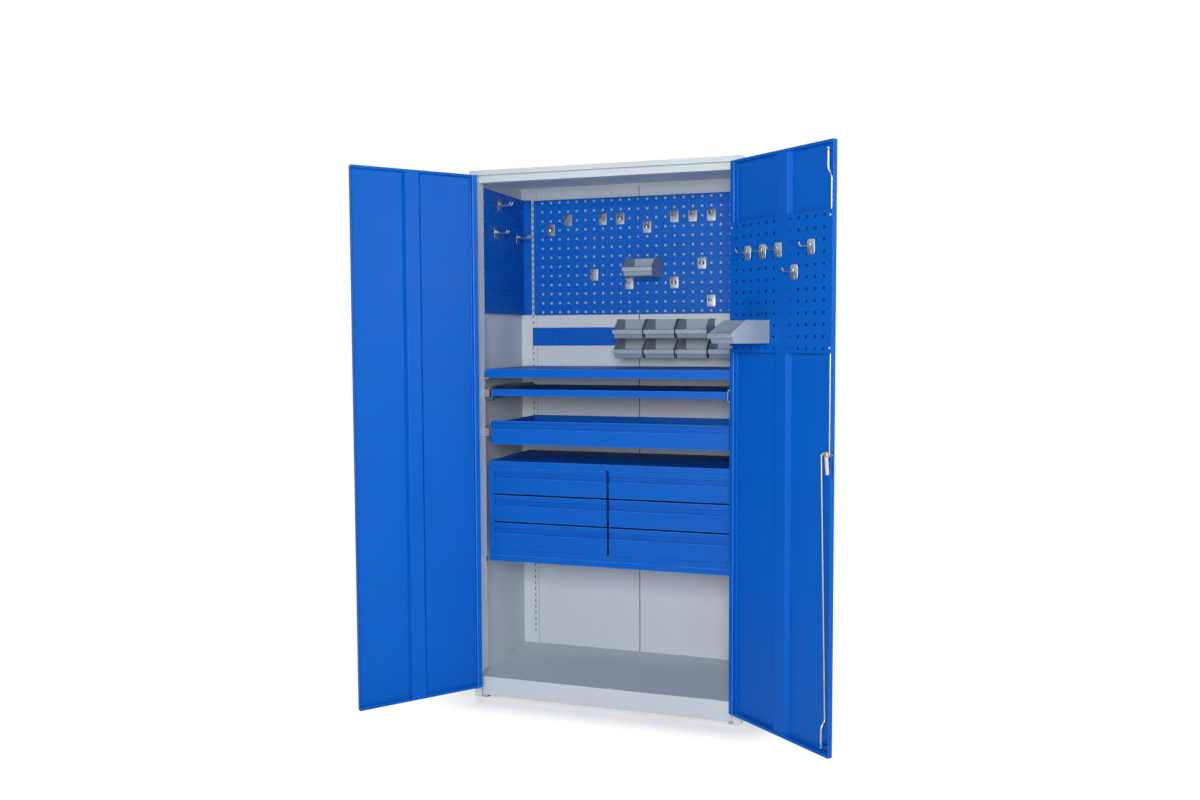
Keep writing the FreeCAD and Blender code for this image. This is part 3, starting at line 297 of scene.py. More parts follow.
def rounded_copy(name, radius, segments=2, coat=None):
    """Stands for a piece of the frame, rounded edges in the given coat or a painted highlight."""
    mesh = NODES[name].data.copy()
    form = bmesh.new()
    form.from_mesh(mesh)
    bmesh.ops.remove_doubles(form, verts=form.verts, dist=SAME_PLACE)
    bmesh.ops.dissolve_limit(form, angle_limit=FLAT, verts=form.verts, edges=form.edges)
    bmesh.ops.connect_verts_concave(form, faces=form.faces)
    weight = form.edges.layers.float.new("bevel_weight_edge")
    for edge in form.edges:
        edge[weight] = edge_share(edge)
    for face in form.faces:
        face.smooth = False
    form.to_mesh(mesh)
    form.free()
    piece = placed(name + "_rounded", mesh)
    bevel = piece.modifiers.new("folds", "BEVEL")
    bevel.limit_method = "WEIGHT"
    bevel.width = radius
    bevel.segments = segments
    coat = coat or FOLD_HIGHLIGHTS.get(SLOT_OF[name])
    if coat:
        mesh.materials.append(coat)
        bevel.material = 1
    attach(piece, BODY_OF[name])
    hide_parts(name)
    return piece


print("coats for folds:", [coat.name for coat in FOLD_HIGHLIGHTS.values()])

# %% [markdown]
# Most of the cabinet is folded with the same tool. The doors are folded softer, because that is
# the edge that hands meet, and their stiffeners are evenly painted, with no painted highlight.
# The two back panels have painted shade in their upright joints, where they meet in the middle
# and at the posts, so only their upright edges are rounded.

# %% Folded copies of the sheet pieces
FOLD = 1.6 * MM
DOOR_FOLD = 2.6 * MM
FOLDED = ["left_side_panel", "right_side_panel", "roof", "head_rail", "floor_pan", "plinth",
          "fixed_shelf", "block_shelf", "bin_rail", "pullout_shelf", "wide_drawer",
          "drawer_casing"]
FOLDED += ["drawer_%s_%d" % (side, row) for side in ("left", "right") for row in (1, 2, 3)]
for name in FOLDED:
    rounded_copy(name, FOLD)

JOINTED = ["back_panel_left", "back_panel_right"]
for name in JOINTED:
    # The rounded joints take the dark steel as painted shade.
    panel = rounded_copy(name, FOLD, coat=painted_shade_steel).data
    for edge, share in zip(panel.edges, panel.attributes["bevel_weight_edge"].data):
        ends = [panel.vertices[i].co for i in edge.vertices]
        if abs(ends[0].z - ends[1].z) < WIDE:
            share.value = 0.0

DOORS = ["left_door_panel", "right_door_panel"]
for name in DOORS:
    rounded_copy(name, DOOR_FOLD, 3)
HATS = ["left_door_stiffener", "right_door_stiffener"]
for name in HATS:
    rounded_copy(name, DOOR_FOLD, 3, coat=blue_coat)
print("folded", len(FOLDED) + len(JOINTED) + len(DOORS) + len(HATS), "sheet pieces")

# %% [markdown]
# Slides, clips and runners are rolled or stamped from plated strip, with tighter corners.

# %% Rolled copies of the small pieces
ROLL = 0.9 * MM
ROLLED = ["slide_outers", "slide_brackets", "pullout_slide_middles", "pullout_slide_inners",
          "wide_slide_middles", "wide_slide_inners", "casing_runners", "shelf_clips",
          "rod_guides"]
for name in ROLLED:
    rounded_copy(name, ROLL)
print("rolled", len(ROLLED), "small pieces")

# %% [markdown]
# Moulded plastic has softer corners, because a sharp one would crack and would not leave the
# mould. The storage bins get a radius of about 2 mm. The handle and the feet are modelled
# further down.

# %% Moulded copies
SOFT = 2.2 * MM
BINS = ["lower_bin_%d" % i for i in (1, 2, 3, 4)] + ["upper_bin_%d" % i for i in (1, 2, 3)]
BINS += ["panel_bin", "door_bin"]
for name in BINS:
    rounded_copy(name, SOFT, 3)
print("moulded", len(BINS), "bins")

# %% [markdown]
# Hooks, clips, rods and bolts are too round for flat-sided solids. Each one is bent from wire,
# stamped from sheet or turned on a lathe, and all three can be drawn the same way: as a row of
# rings with a skin over them. This first function makes the skin.

# %% A skin over rings
IDENTITY = Matrix.Identity(4)


def skin(form, rings, turn=IDENTITY):
    """Joins a row of rings with a smooth skin and closes both ends."""
    rows = [[form.verts.new(turn @ Vector(point)) for point in ring] for ring in rings]
    count = len(rows[0])
    for low, high in zip(rows, rows[1:]):
        for i in range(count):
            form.faces.new((low[i], low[(i + 1) % count], high[(i + 1) % count], high[i]))
    form.faces.new(rows[0][::-1])
    form.faces.new(rows[-1])


def circle(sides):
    """The cosine and sine of evenly spaced angles, once round."""
    angles = [2 * math.pi * k / sides for k in range(sides)]
    return [(math.cos(a), math.sin(a)) for a in angles]


print("a square's corners:", [(round(c), round(s)) for c, s in circle(4)])

# %% [markdown]
# Wire is bent round a former, so each corner of its path is a smooth bend, and the cutter leaves
# its ends a little rounded. The rings follow the path without a twist: each keeps the direction
# of the one before as far as the bend lets it.

# %% Bent wire
CUT_EASE = 0.4


def eased(points, bend, steps=5):
    """A path through the points with each corner turned into a smooth bend."""
    points = [Vector(point) for point in points]
    path = [points[0]]
    for before, corner, after in zip(points, points[1:], points[2:]):
        start = corner + (before - corner).normalized() * bend
        end = corner + (after - corner).normalized() * bend
        for i in range(steps + 1):
            t = i / steps
            path.append(start * (1 - t) ** 2 + corner * (2 * t * (1 - t)) + end * t ** 2)
    return path + [points[-1]]


def wire(form, points, radius, bend, turn=IDENTITY, sides=12):
    """Round wire, bent along the points, with its cut ends eased."""
    path = eased(points, bend)
    ease = radius * CUT_EASE
    first = (path[1] - path[0]).normalized()
    last = (path[-1] - path[-2]).normalized()
    stops = [(path[0], radius - ease), (path[0] + first * ease, radius)]
    stops += [(point, radius) for point in path[1:-1]]
    stops += [(path[-1] - last * ease, radius), (path[-1], radius - ease)]
    normal = first.orthogonal().normalized()
    rings = []
    for i, (point, size) in enumerate(stops):
        ahead = stops[min(i + 1, len(stops) - 1)][0] - stops[max(i - 1, 0)][0]
        ahead.normalize()
        normal = (normal - ahead * normal.dot(ahead)).normalized()
        side = ahead.cross(normal)
        rings.append([point + (normal * c + side * s) * size for c, s in circle(sides)])
    skin(form, rings, turn)


print("a path with one bend has", len(eased([(0, 0, 0), (1, 0, 0), (1, 1, 0)], 0.1)), "points")

# %% [markdown]
# A stamped piece is an outline in X and Z with a thickness in Y. Its edges are eased by layers
# that shrink the outline a little. A turned piece is a profile of heights and radii about the Y
# axis, and a tube is the same with a bore.

# %% Stamped and turned pieces
def stamped(form, outline, layers, turn=IDENTITY):
    """Sheet stamped to an outline. Each layer is a Y and how far the outline shrinks there."""
    width = max(x for x, z in outline) - min(x for x, z in outline)
    height = max(z for x, z in outline) - min(z for x, z in outline)
    x0 = (max(x for x, z in outline) + min(x for x, z in outline)) / 2
    z0 = (max(z for x, z in outline) + min(z for x, z in outline)) / 2
    rings = []
    for y, shrink in layers:
        wide, tall = 1 - 2 * shrink / width, 1 - 2 * shrink / height
        rings.append([(x0 + (x - x0) * wide, y, z0 + (z - z0) * tall) for x, z in outline])
    skin(form, rings, turn)


def sheet_layers(thickness, ease=0.4 * MM):
    """The layers of a flat plate from Y 0 to minus its thickness, with both edges eased."""
    return [(0, ease), (-ease, 0), (-thickness + ease, 0), (-thickness, ease)]


def corners(width, height, radius, x0=0.0, z0=0.0, steps=5):
    """A rectangle with round corners about a middle, as points in X and Z."""
    points = []
    for number, (sx, sz) in enumerate(((1, 1), (-1, 1), (-1, -1), (1, -1))):
        for k in range(steps + 1):
            a = math.radians(90 * (number + k / steps))
            points.append((x0 + sx * (width / 2 - radius) + radius * math.cos(a),
                           z0 + sz * (height / 2 - radius) + radius * math.sin(a)))
    return points


def turned(form, profile, turn=IDENTITY, sides=24):
    """A piece turned about the Y axis. The profile is a row of Y and radius."""
    skin(form, [[(r * c, y, r * s) for c, s in circle(sides)] for y, r in profile], turn)


def tube(form, inner, outer, low, high, turn, ease=0.5 * MM, sides=24):
    """A turned ring about the Y axis, with bevelled ends."""
    loop = [(low, inner), (low, outer - ease), (low + ease, outer), (high - ease, outer),
            (high, outer - ease), (high, inner)]
    rows = [[form.verts.new(turn @ Vector((r * c, y, r * s))) for c, s in circle(sides)]
            for y, r in loop]
    for row, after in zip(rows, rows[1:] + rows[:1]):
        for i in range(sides):
            form.faces.new((row[i], row[(i + 1) % sides], after[(i + 1) % sides], after[i]))


print("a rounded rectangle has", len(corners(1, 1, 0.1)), "points")

# %% [markdown]
# A drawn form becomes a piece of the cabinet by the same steps as a rounded copy. It is smooth
# where its faces bend softly, and sharp where they meet at more than 40 degrees.

# %% A finished piece
CREASE = math.radians(40)


def finished(form, name, *nodes, like=None):
    """Turns the drawn form into a piece that stands for its nodes, or rides like one of them."""
    bmesh.ops.recalc_face_normals(form, faces=form.faces)
    mesh = bpy.data.meshes.new(name)
    for face in form.faces:
        face.smooth = True
    form.to_mesh(mesh)
    form.free()
    mesh.set_sharp_from_angle(angle=CREASE)
    piece = placed(name, mesh)
    pattern = like or nodes[0]
    slot = SLOT_OF[pattern]
    mesh.materials.append(MATERIALS[slot])
    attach(piece, BODY_OF[pattern])
    if nodes:
        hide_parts(*nodes)
    return piece


print("edges sharper than", round(math.degrees(CREASE)), "degrees stay sharp")

# %% [markdown]
# The new pieces go where the frame's own solids are, so most places are measured and not typed.
# A node can hold many separate solids, such as all the hooks of a panel, so its mesh is taken
# apart into groups of joined vertices. The doors stand open, and what is on them is measured and
# drawn in the frame of the shut door, where every side is square, and then turned with the door.

# %% Places on the frame
def boxes(name, turn=IDENTITY):
    """The lowest and highest corner of each separate solid of a piece, in a turned frame."""
    form = bmesh.new()
    form.from_mesh(NODES[name].data)
    form.transform(turn.inverted())
    bmesh.ops.remove_doubles(form, verts=form.verts, dist=SAME_PLACE)
    left = set(form.verts)
    found = []
    while left:
        group = [left.pop()]
        for vert in group:
            for edge in vert.link_edges:
                other = edge.other_vert(vert)
                if other in left:
                    left.remove(other)
                    group.append(other)
        spans = [[pick(v.co[i] for v in group) for i in range(3)] for pick in (min, max)]
        found.append([Vector(span) for span in spans])
    form.free()
    return sorted(found, key=lambda pair: tuple(pair[0]))


def moved(x, y, z):
    return Matrix.Translation((x, y, z))


def about_z(degrees):
    return Matrix.Rotation(math.radians(degrees), 4, "Z")


HINGE = (474.0 * MM, -255.5 * MM)
RIGHT_SWING = 141
LEFT_SWING = -130
RIGHT_DOOR = moved(*HINGE, 0) @ about_z(RIGHT_SWING) @ moved(-HINGE[0], -HINGE[1], 0)
LEFT_DOOR = moved(-HINGE[0], HINGE[1], 0) @ about_z(LEFT_SWING) @ moved(HINGE[0], -HINGE[1], 0)
print("separate hooks on the panels:", len(boxes("panel_hooks")))

# %% [markdown]
# The folded edges at the top and bottom of each door end in a narrow lip that is turned back
# towards the middle. It hides the sharp cut edge, and draws a light line with a shadow beside
# it. On the hinge side it stops at the door's closed box.

# %% Lips on the doors' edges
LIP_HEIGHT = 9 * MM
LIP_SHEET = 0.9 * MM
LIP_CORNER = 0.4 * MM
LIP_EASE = 0.3 * MM
LIP_INSET = 0.5 * MM
LIP_SINK = 0.05 * MM
FREE_END = 1 * MM
HINGE_BOX = 20 * MM

for name, turn, hinge_end in (("left_door", LEFT_DOOR, "low"), ("right_door", RIGHT_DOOR, "high")):
    low, high = boxes(name + "_panel", turn)[0]
    start = low.x + (HINGE_BOX if hinge_end == "low" else FREE_END)
    end = high.x - (HINGE_BOX if hinge_end == "high" else FREE_END)
    form = bmesh.new()
    for middle in (low.z + LIP_HEIGHT / 2 + LIP_INSET, high.z - LIP_HEIGHT / 2 - LIP_INSET):
        stamped(form, corners(end - start, LIP_HEIGHT, LIP_CORNER, (start + end) / 2, middle),
                sheet_layers(LIP_SHEET, LIP_EASE), turn @ moved(0, high.y - LIP_SINK, 0))
    finished(form, name + "_lips", like=name + "_panel")
    print(name, "lips", round((end - start) / MM), "mm long at Y", round(high.y / MM, 2))

# %% [markdown]
# Each rear post is a box: its slotted face looks into the cabinet, and a thin strip closes it
# behind. The strip keeps the daylight out of the slots, and its inside is dark grey steel as
# painted shade, so they look dark from the front. Outside it has the paint of the posts, and
# lies just inside the line of the cabinet's back.

# %% Strips behind the rear posts
POST = (435.2 * MM, 498.8 * MM)
STRIP_SHEET = 0.7 * MM
STRIP_BACK = 249.8 * MM
STRIP_SHORT = 2 * MM
STRIP_CORNER = 1.2 * MM
STRIP_EASE = 0.15 * MM
FORWARD = -0.9

low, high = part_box("back_panel_left")
for side, name in ((-1, "left_post_strip"), (1, "right_post_strip")):
    form = bmesh.new()
    stamped(form, corners(POST[1] - POST[0], high[2] - low[2] - STRIP_SHORT, STRIP_CORNER,
                          side * (POST[0] + POST[1]) / 2, (high[2] + low[2]) / 2),
            sheet_layers(STRIP_SHEET, STRIP_EASE), moved(0, STRIP_BACK, 0))
    strip = finished(form, name, like="back_panel_left")
    # Faces turned to the front take the dark steel, painted shade in the slots.
    strip.data.materials.append(painted_shade_steel)
    for face in strip.data.polygons:
        face.material_index = 1 if face.normal.y < FORWARD else 0

# %% [markdown]
# A tool hook is a stamped plate of 33 by 46 mm with a bent wire welded on its face. The wire
# runs down the plate, turns out, and turns up at the end so that the tool can't slide off. Two
# lugs above and below are pressed through into the panel's holes, and leave round dimples in
# front.

# %% Hook plates and hook wires
PLATE_WIDTH = 33 * MM
PLATE_HEIGHT = 46 * MM
PLATE_SHEET = 1.5 * MM
WIRE = 2.5 * MM
WIRE_TOP = 10 * MM
REACH = 45 * MM
TIP = 12 * MM
DIMPLE = 15.5 * MM
DIMPLE_PROFILE = [(-PLATE_SHEET + 0.1 * MM, 3.2 * MM), (-PLATE_SHEET - 0.5 * MM, 2.6 * MM),
                  (-PLATE_SHEET - 0.9 * MM, 1.4 * MM)]


def hook_plate(form, turn):
    stamped(form, corners(PLATE_WIDTH, PLATE_HEIGHT, 4 * MM), sheet_layers(PLATE_SHEET), turn)
    for z in (-DIMPLE, DIMPLE):
        turned(form, DIMPLE_PROFILE, turn @ moved(0, 0, z), 14)


def hook_wire(form, turn, x):
    y = -PLATE_SHEET - WIRE * 0.8
    wire(form, [(x, y, WIRE_TOP), (x, y, 0), (x, -REACH, 0), (x, -REACH - TIP / 2, TIP)],
         WIRE, 4 * MM, turn)


print("hook wire of", 2 * WIRE / MM, "mm reaches", REACH / MM, "mm out")

# %% [markdown]
# A spring clip has two curved jaws of strip steel in place of the wire. Each jaw runs round from
# the plate and flares at its mouth, so that a tool's handle can be pushed in. Its section is a
# flat strip with eased corners: each point is a share of half its thickness, and a height.

# %% Spring jaws
JAW_RING = 9.2 * MM
JAW_MIDDLE = 9.25 * MM
JAW_START = 84
JAW_SWEEP = 128
JAW_STEPS = 10
JAW_FLARE = (2.2 * MM, 2.0 * MM)
JAW_HALF = 0.6
JAW_SECTION = [(-1, -5.6 * MM), (-0.6, -6 * MM), (0.6, -6 * MM), (1, -5.6 * MM),
               (1, 5.6 * MM), (0.6, 6 * MM), (-0.6, 6 * MM), (-1, 5.6 * MM)]


def jaw(form, turn, side):
    """One sprung jaw, on the left or on the right of its plate."""
    middle = -PLATE_SHEET - JAW_MIDDLE
    path = []
    for k in range(JAW_STEPS + 1):
        a = math.radians(JAW_START - JAW_SWEEP * k / JAW_STEPS)
        path.append((side * JAW_RING * math.cos(a), middle + JAW_RING * math.sin(a)))
    path.append((path[-1][0] + side * JAW_FLARE[0], path[-1][1] - JAW_FLARE[1]))
    rings = []
    for i, (x, y) in enumerate(path):
        ahead = Vector(path[min(i + 1, len(path) - 1)]) - Vector(path[max(i - 1, 0)])
        out = Vector((ahead.y, -ahead.x)).normalized() * JAW_HALF * MM
        rings.append([(x + s * out.x, y + s * out.y, z) for s, z in JAW_SECTION])
    skin(form, rings, turn)


print("jaws of", 2 * JAW_HALF, "mm strip round a ring of", round(2 * JAW_RING / MM, 1), "mm")

# %% [markdown]
# The hooks are hung where the frame's own hooks are. Those on the left wall are double hooks
# that face sideways. On the back panel, what stands out by more than 30 mm is a hook, and the
# rest are clips.

# %% Tool hooks and spring clips
LEFT_WALL = -460 * MM
FORK = 10 * MM
HOOK_DEPTH = 30 * MM

form = bmesh.new()
for low, high in boxes("panel_hooks"):
    middle = (low + high) / 2
    if low.x < LEFT_WALL:
        place = moved(low.x, middle.y, middle.z) @ about_z(90)
        hook_plate(form, place)
        for x in (-FORK, FORK):
            hook_wire(form, place, x)
        continue
    place = moved(middle.x, high.y, middle.z)
    hook_plate(form, place)
    if high.y - low.y > HOOK_DEPTH:
        hook_wire(form, place, 0)
    else:
        for side in (-1, 1):
            jaw(form, place, side)
finished(form, "panel_hooks_bent", "panel_hooks")

form = bmesh.new()
for low, high in boxes("door_hooks", RIGHT_DOOR):
    middle = (low + high) / 2
    place = RIGHT_DOOR @ moved(middle.x, low.y, middle.z) @ about_z(180)
    hook_plate(form, place)
    hook_wire(form, place, 0)
finished(form, "door_hooks_bent", "door_hooks")
print("hooks and clips bent")

# %% [markdown]
# Turning the handle moves two round rods of 7 mm steel, one up and one down, that lock the door
# into the roof and the floor. Each is cranked near its end by a press, so its corners are smooth
# bends. Places on the shut door are given in millimetres: from its hinge edge, from its outside
# into the cabinet, and up.

# %% Lock rods
HINGE_EDGE = 471.0
FRONT = -250.0
LOCK_U = 443.0
LOCK_Z = 986.0
CAM_RADIUS = 17.0
ROD = 3.5
ROD_PIN = 2.8
ROD_BEND = 9
PIN_FOOT = 3.5
ROD_NEAR = 12
ROD_FAR = 28
UPPER_U = LOCK_U + CAM_RADIUS
LOWER_U = LOCK_U - CAM_RADIUS
LOWER_END_U = 450


def on_door(u, offset, z):
    """A place on the shut door: from the hinge edge, into the cabinet, and up."""
    return Vector(((HINGE_EDGE - u) * MM, (FRONT + offset) * MM, z * MM))


UPPER = [(UPPER_U, PIN_FOOT, LOCK_Z), (UPPER_U, ROD_NEAR, LOCK_Z), (UPPER_U, ROD_NEAR, 1823),
         (UPPER_U, ROD_FAR, 1839), (UPPER_U, ROD_FAR, 1905)]
LOWER = [(LOWER_U, PIN_FOOT, LOCK_Z), (LOWER_U, ROD_NEAR, LOCK_Z), (LOWER_END_U, ROD_NEAR, 166),
         (LOWER_END_U, ROD_FAR, 150), (LOWER_END_U, ROD_FAR, 84)]
for name, route in (("upper_rod", UPPER), ("lower_rod", LOWER)):
    form = bmesh.new()
    pin = [on_door(*route[0]), on_door(*route[1])]
    wire(form, [pin[0], pin[1] - Vector((0, ROD * 0.3 * MM, 0))], ROD_PIN * MM, 0, RIGHT_DOOR)
    wire(form, [on_door(*point) for point in route[1:]], ROD * MM, ROD_BEND * MM, RIGHT_DOOR, 16)
    finished(form, name + "_bent", name)
print("rods bent")

# %% [markdown]
# On the handle's spindle sits a double lever of plated steel that drives the rods. It is stamped
# from 3 mm sheet, with a round boss in the middle and a riveted pin at each end.

# %% Lever of the lock
LEVER_WIDTH = 13
BOSS = 19.5
LEVER_EASE = 0.5 * MM
LOCK = RIGHT_DOOR @ moved(*on_door(LOCK_U, 0, LOCK_Z)) @ about_z(180)


def lever_layers(near, far, ease):
    """Layers from one depth behind the door's outer skin to another, with eased edges."""
    return [(-(near * MM), ease), (-(near * MM + ease), 0), (-(far * MM - ease), 0),
            (-(far * MM), ease)]


form = bmesh.new()
stamped(form, corners((2 * CAM_RADIUS + LEVER_WIDTH) * MM, LEVER_WIDTH * MM, 6.4 * MM),
        lever_layers(4, 7, LEVER_EASE), LOCK)
stamped(form, corners(BOSS * MM, BOSS * MM, 9.7 * MM), lever_layers(4, 7.6, LEVER_EASE), LOCK)
for side in (-1, 1):
    turned(form, [(-6.9 * MM, 4.2 * MM), (-7.8 * MM, 3.8 * MM), (-8.2 * MM, 2.6 * MM)],
           LOCK @ moved(side * CAM_RADIUS * MM, 0, 0), 18)
finished(form, "lock_cam_stamped", "lock_cam")
print("lever of", 2 * CAM_RADIUS + LEVER_WIDTH, "mm made")

# %% [markdown]
# The tongue on top of the lever catches behind the other door. It is dipped in cream plastic, so
# it is thick and round at its edges, and it hangs a few degrees off the upright. A yellow screw
# with a socket holds all of it.

# %% Tongue and screw
TONGUE_LEAN = -6
HANG = LOCK @ Matrix.Rotation(math.radians(TONGUE_LEAN), 4, "Y")
form = bmesh.new()
turned(form, [(-7 * MM, 7.6 * MM), (-7.6 * MM, 8.3 * MM), (-10.4 * MM, 8.3 * MM),
              (-11 * MM, 7.4 * MM)], HANG)
stamped(form, corners(14 * MM, 67 * MM, 6.9 * MM, 0, -28.5 * MM),
        [(-7.6 * MM, 1.2 * MM), (-8.4 * MM, 0), (-10.2 * MM, 0), (-11 * MM, 1.6 * MM)], HANG)
finished(form, "lock_tongue_dipped", "lock_tongue")

form = bmesh.new()
turned(form, [(-11 * MM, 5 * MM), (-12.8 * MM, 5 * MM), (-13.7 * MM, 4.2 * MM),
              (-14 * MM, 3 * MM), (-13.9 * MM, 2.1 * MM), (-12.2 * MM, 2.0 * MM),
              (-12.1 * MM, 0.8 * MM)], LOCK)
finished(form, "lock_screw_turned", "lock_screw")
print("tongue leans", TONGUE_LEAN, "degrees")

# %% [markdown]
# The hinges are weld-on barrels: a leaf goes on the upright or on the door, a barrel of 10 mm is
# on its edge, and a domed steel pin runs through both barrels. The barrels are painted with the
# sheet they are welded to. A lathe leaves a small bevel on each end, which is what shows as a
# joint line.

# %% Hinge barrels
BARREL = 5.0 * MM
BORE = 3.05 * MM
LEAF = 10 * MM
LEAF_INSET = BARREL * 0.75
UPRIGHT = Matrix.Rotation(math.pi / 2, 4, "X")


def barrel_and_leaf(form, low, high, side, leaf, door):
    """One hinge barrel on its axis, with its leaf to one side of it."""
    axis = moved(side * HINGE[0], HINGE[1], 0)
    tube(form, BORE, BARREL, low.z, high.z, door @ axis @ UPRIGHT)
    depth = FRONT * MM - HINGE[1]
    middle = side * HINGE[0] + leaf * (LEAF_INSET + LEAF) / 2
    face = moved(middle, HINGE[1] + depth, (low.z + high.z) / 2)
    stamped(form, corners(LEAF - LEAF_INSET, high.z - low.z, 1.2 * MM),
            sheet_layers(depth, 0.5 * MM), door @ face)


for name, side_of, leaf_way, door in (
        ("hinge_knuckles_fixed", None, 1, IDENTITY),
        ("left_door_knuckles", -1, -1, LEFT_DOOR), ("right_door_knuckles", 1, -1, RIGHT_DOOR)):
    form = bmesh.new()
    for low, high in boxes(name, door):
        side = side_of or (1 if low.x > 0 else -1)
        barrel_and_leaf(form, low, high, side, side * leaf_way, door)
    finished(form, name + "_turned", name)
print("barrels of", 2 * BARREL / MM, "mm turned")

# %% [markdown]
# The pins are turned steel, with a bevel below and a dome on top.

# %% Hinge pins
PIN = 3.0 * MM
form = bmesh.new()
for low, high in boxes("hinge_pins"):
    middle = (low + high) / 2
    turned(form, [(low.z, PIN - 0.5 * MM), (low.z + 0.5 * MM, PIN), (high.z - 1.2 * MM, PIN),
                  (high.z - 0.4 * MM, PIN * 0.75), (high.z, PIN * 0.3)],
           moved(middle.x, middle.y, 0) @ UPRIGHT)
finished(form, "hinge_pins_turned", "hinge_pins")
print("pins of", 2 * PIN / MM, "mm turned")

# %% [markdown]
# The tool panel on the door is held by four button-head bolts with a hexagon socket. Such a bolt
# is turned as one profile: the shank, the flat seat, the dome and the socket sunk in its top.

# %% Bolts of the door's panel
HEAD_RADIUS = 4.5 * MM
HEAD_HEIGHT = 3.0 * MM
BOLT_SHANK = 2.5 * MM
form = bmesh.new()
for low, high in boxes("door_pegboard_bolts", RIGHT_DOOR):
    middle = (low + high) / 2
    place = RIGHT_DOOR @ moved(middle.x, low.y, middle.z) @ about_z(180)
    seat = low.y - high.y + HEAD_HEIGHT
    turned(form, [(0, BOLT_SHANK - 0.4 * MM), (-0.4 * MM, BOLT_SHANK), (seat, BOLT_SHANK),
                  (seat, HEAD_RADIUS), (seat - 1.0 * MM, HEAD_RADIUS),
                  (seat - 2.3 * MM, 3.4 * MM), (seat - 3.0 * MM, 2.0 * MM),
                  (seat - 3.0 * MM, 1.5 * MM), (seat - 1.3 * MM, 1.4 * MM)], place)
finished(form, "door_pegboard_bolts_turned", "door_pegboard_bolts")
print("bolt heads of", 2 * HEAD_RADIUS / MM, "mm turned")

# %% [markdown]
# The cabinet stands on four black nylon feet: a flat disc that rises to a neck, a threaded stem,
# and a hexagon on the stem for a spanner. A hexagon is a turned piece with six sides.

# %% Levelling feet
STEM = 4 * MM
form = bmesh.new()
for low, high in boxes("levelling_feet"):
    middle = (low + high) / 2
    place = moved(middle.x, middle.y, 0) @ UPRIGHT
    turned(form, [(0, 17.5 * MM), (0.8 * MM, 19 * MM), (3.4 * MM, 19 * MM),
                  (4.6 * MM, 17.6 * MM), (7.4 * MM, 10.5 * MM), (9 * MM, 9 * MM),
                  (9.1 * MM, STEM), (high.z - 1 * MM, STEM), (high.z, 3 * MM)], place, 32)
    turned(form, [(10.05 * MM, 6.4 * MM), (10.6 * MM, 7 * MM), (15.4 * MM, 7 * MM),
                  (16 * MM, 6.4 * MM)], place, 6)
finished(form, "levelling_feet_moulded", "levelling_feet")
print("feet moulded, stems of", 2 * STEM / MM, "mm")

# %% [markdown]
# Outside, the lock has a black escutcheon with a lever that folds down over it. Both are moulded
# in glass-filled nylon: the lever's back is domed so that fingers close round it, and the key
# turns in a small disc. The spindle passes through a bush in the door. Heights count outwards
# from the door's outer skin, and what is inside the door is below zero.

# %% Handle and escutcheon
HUB = 13 * MM
SPINDLE = 3.9 * MM
LEVER_LENGTH = 116 * MM
LEVER_CURVE = [(7.3 * MM, 2.0 * MM), (8.2 * MM, 0.6 * MM), (9.6 * MM, 0), (11.2 * MM, 0.7 * MM),
               (12.5 * MM, 2.6 * MM), (13.1 * MM, 5.2 * MM), (13.3 * MM, 8.2 * MM)]
SPINDLE_PROFILE = [(-10.9 * MM, 3.6 * MM), (-10.5 * MM, SPINDLE), (5.3 * MM, SPINDLE)]
HUB_PROFILE = [(5.3 * MM, HUB - 0.6 * MM), (5.9 * MM, HUB), (11.6 * MM, HUB),
               (12.9 * MM, HUB - 0.8 * MM), (13.6 * MM, HUB - 2.6 * MM)]
KEY_PROFILE = [(13.7 * MM, 8.4 * MM), (13.3 * MM, 8.0 * MM), (15.0 * MM, 7.8 * MM),
               (15.3 * MM, 7.2 * MM), (15.3 * MM, 3.6 * MM), (14.3 * MM, 3.3 * MM)]
form = bmesh.new()
stamped(form, corners(22 * MM, LEVER_LENGTH, 10.9 * MM, 0, -47 * MM, 8), LEVER_CURVE, LOCK)
turned(form, SPINDLE_PROFILE + HUB_PROFILE + KEY_PROFILE, LOCK, 36)
finished(form, "lock_handle_moulded", "lock_handle")

PLATE_CURVE = [(0, 0.2 * MM), (0.4 * MM, 0), (3.2 * MM, 0), (4.4 * MM, 0.9 * MM),
               (5.0 * MM, 2.6 * MM)]
form = bmesh.new()
stamped(form, corners(34 * MM, 120 * MM, 9 * MM, 0, -30 * MM, 8), PLATE_CURVE, LOCK)
tube(form, 4.1 * MM, 10 * MM, -3.7 * MM, 0.4 * MM, LOCK)
finished(form, "lock_plate_moulded", "lock_plate")
print("handle and escutcheon moulded")

# %% [markdown]
# The floor and the backdrop are plain white, as in a catalogue picture. A white floor under soft
# light is a little grey, so for the eye and for mirror-like surfaces its light is its own white.
# Beside the cabinet's footprint half of it is left to real light, which keeps the shadow where
# the cabinet meets the floor, and that share fades out within 17 cm, so no horizon shows.

# %% Floor material
SHADOW_SHARE = 0.5
SHADOW_FAR = 0.17
FOOTPRINT = (0.5, 0.25, 0.0)
WHITE = "#FFFFFF"


def seen_ray(tree):
    """1 where the camera, a glossy surface or a clear one looks, and 0 for light that bounces."""
    path = node(tree, "ShaderNodeLightPath")
    glossy = node(tree, "ShaderNodeMath", {"operation": "MAXIMUM"},
                  i0=path.outputs["Is Camera Ray"], i1=path.outputs["Is Glossy Ray"])
    return node(tree, "ShaderNodeMath", {"operation": "MAXIMUM"}, i0=glossy.outputs[0],
                i1=path.outputs["Is Transmission Ray"]).outputs[0]


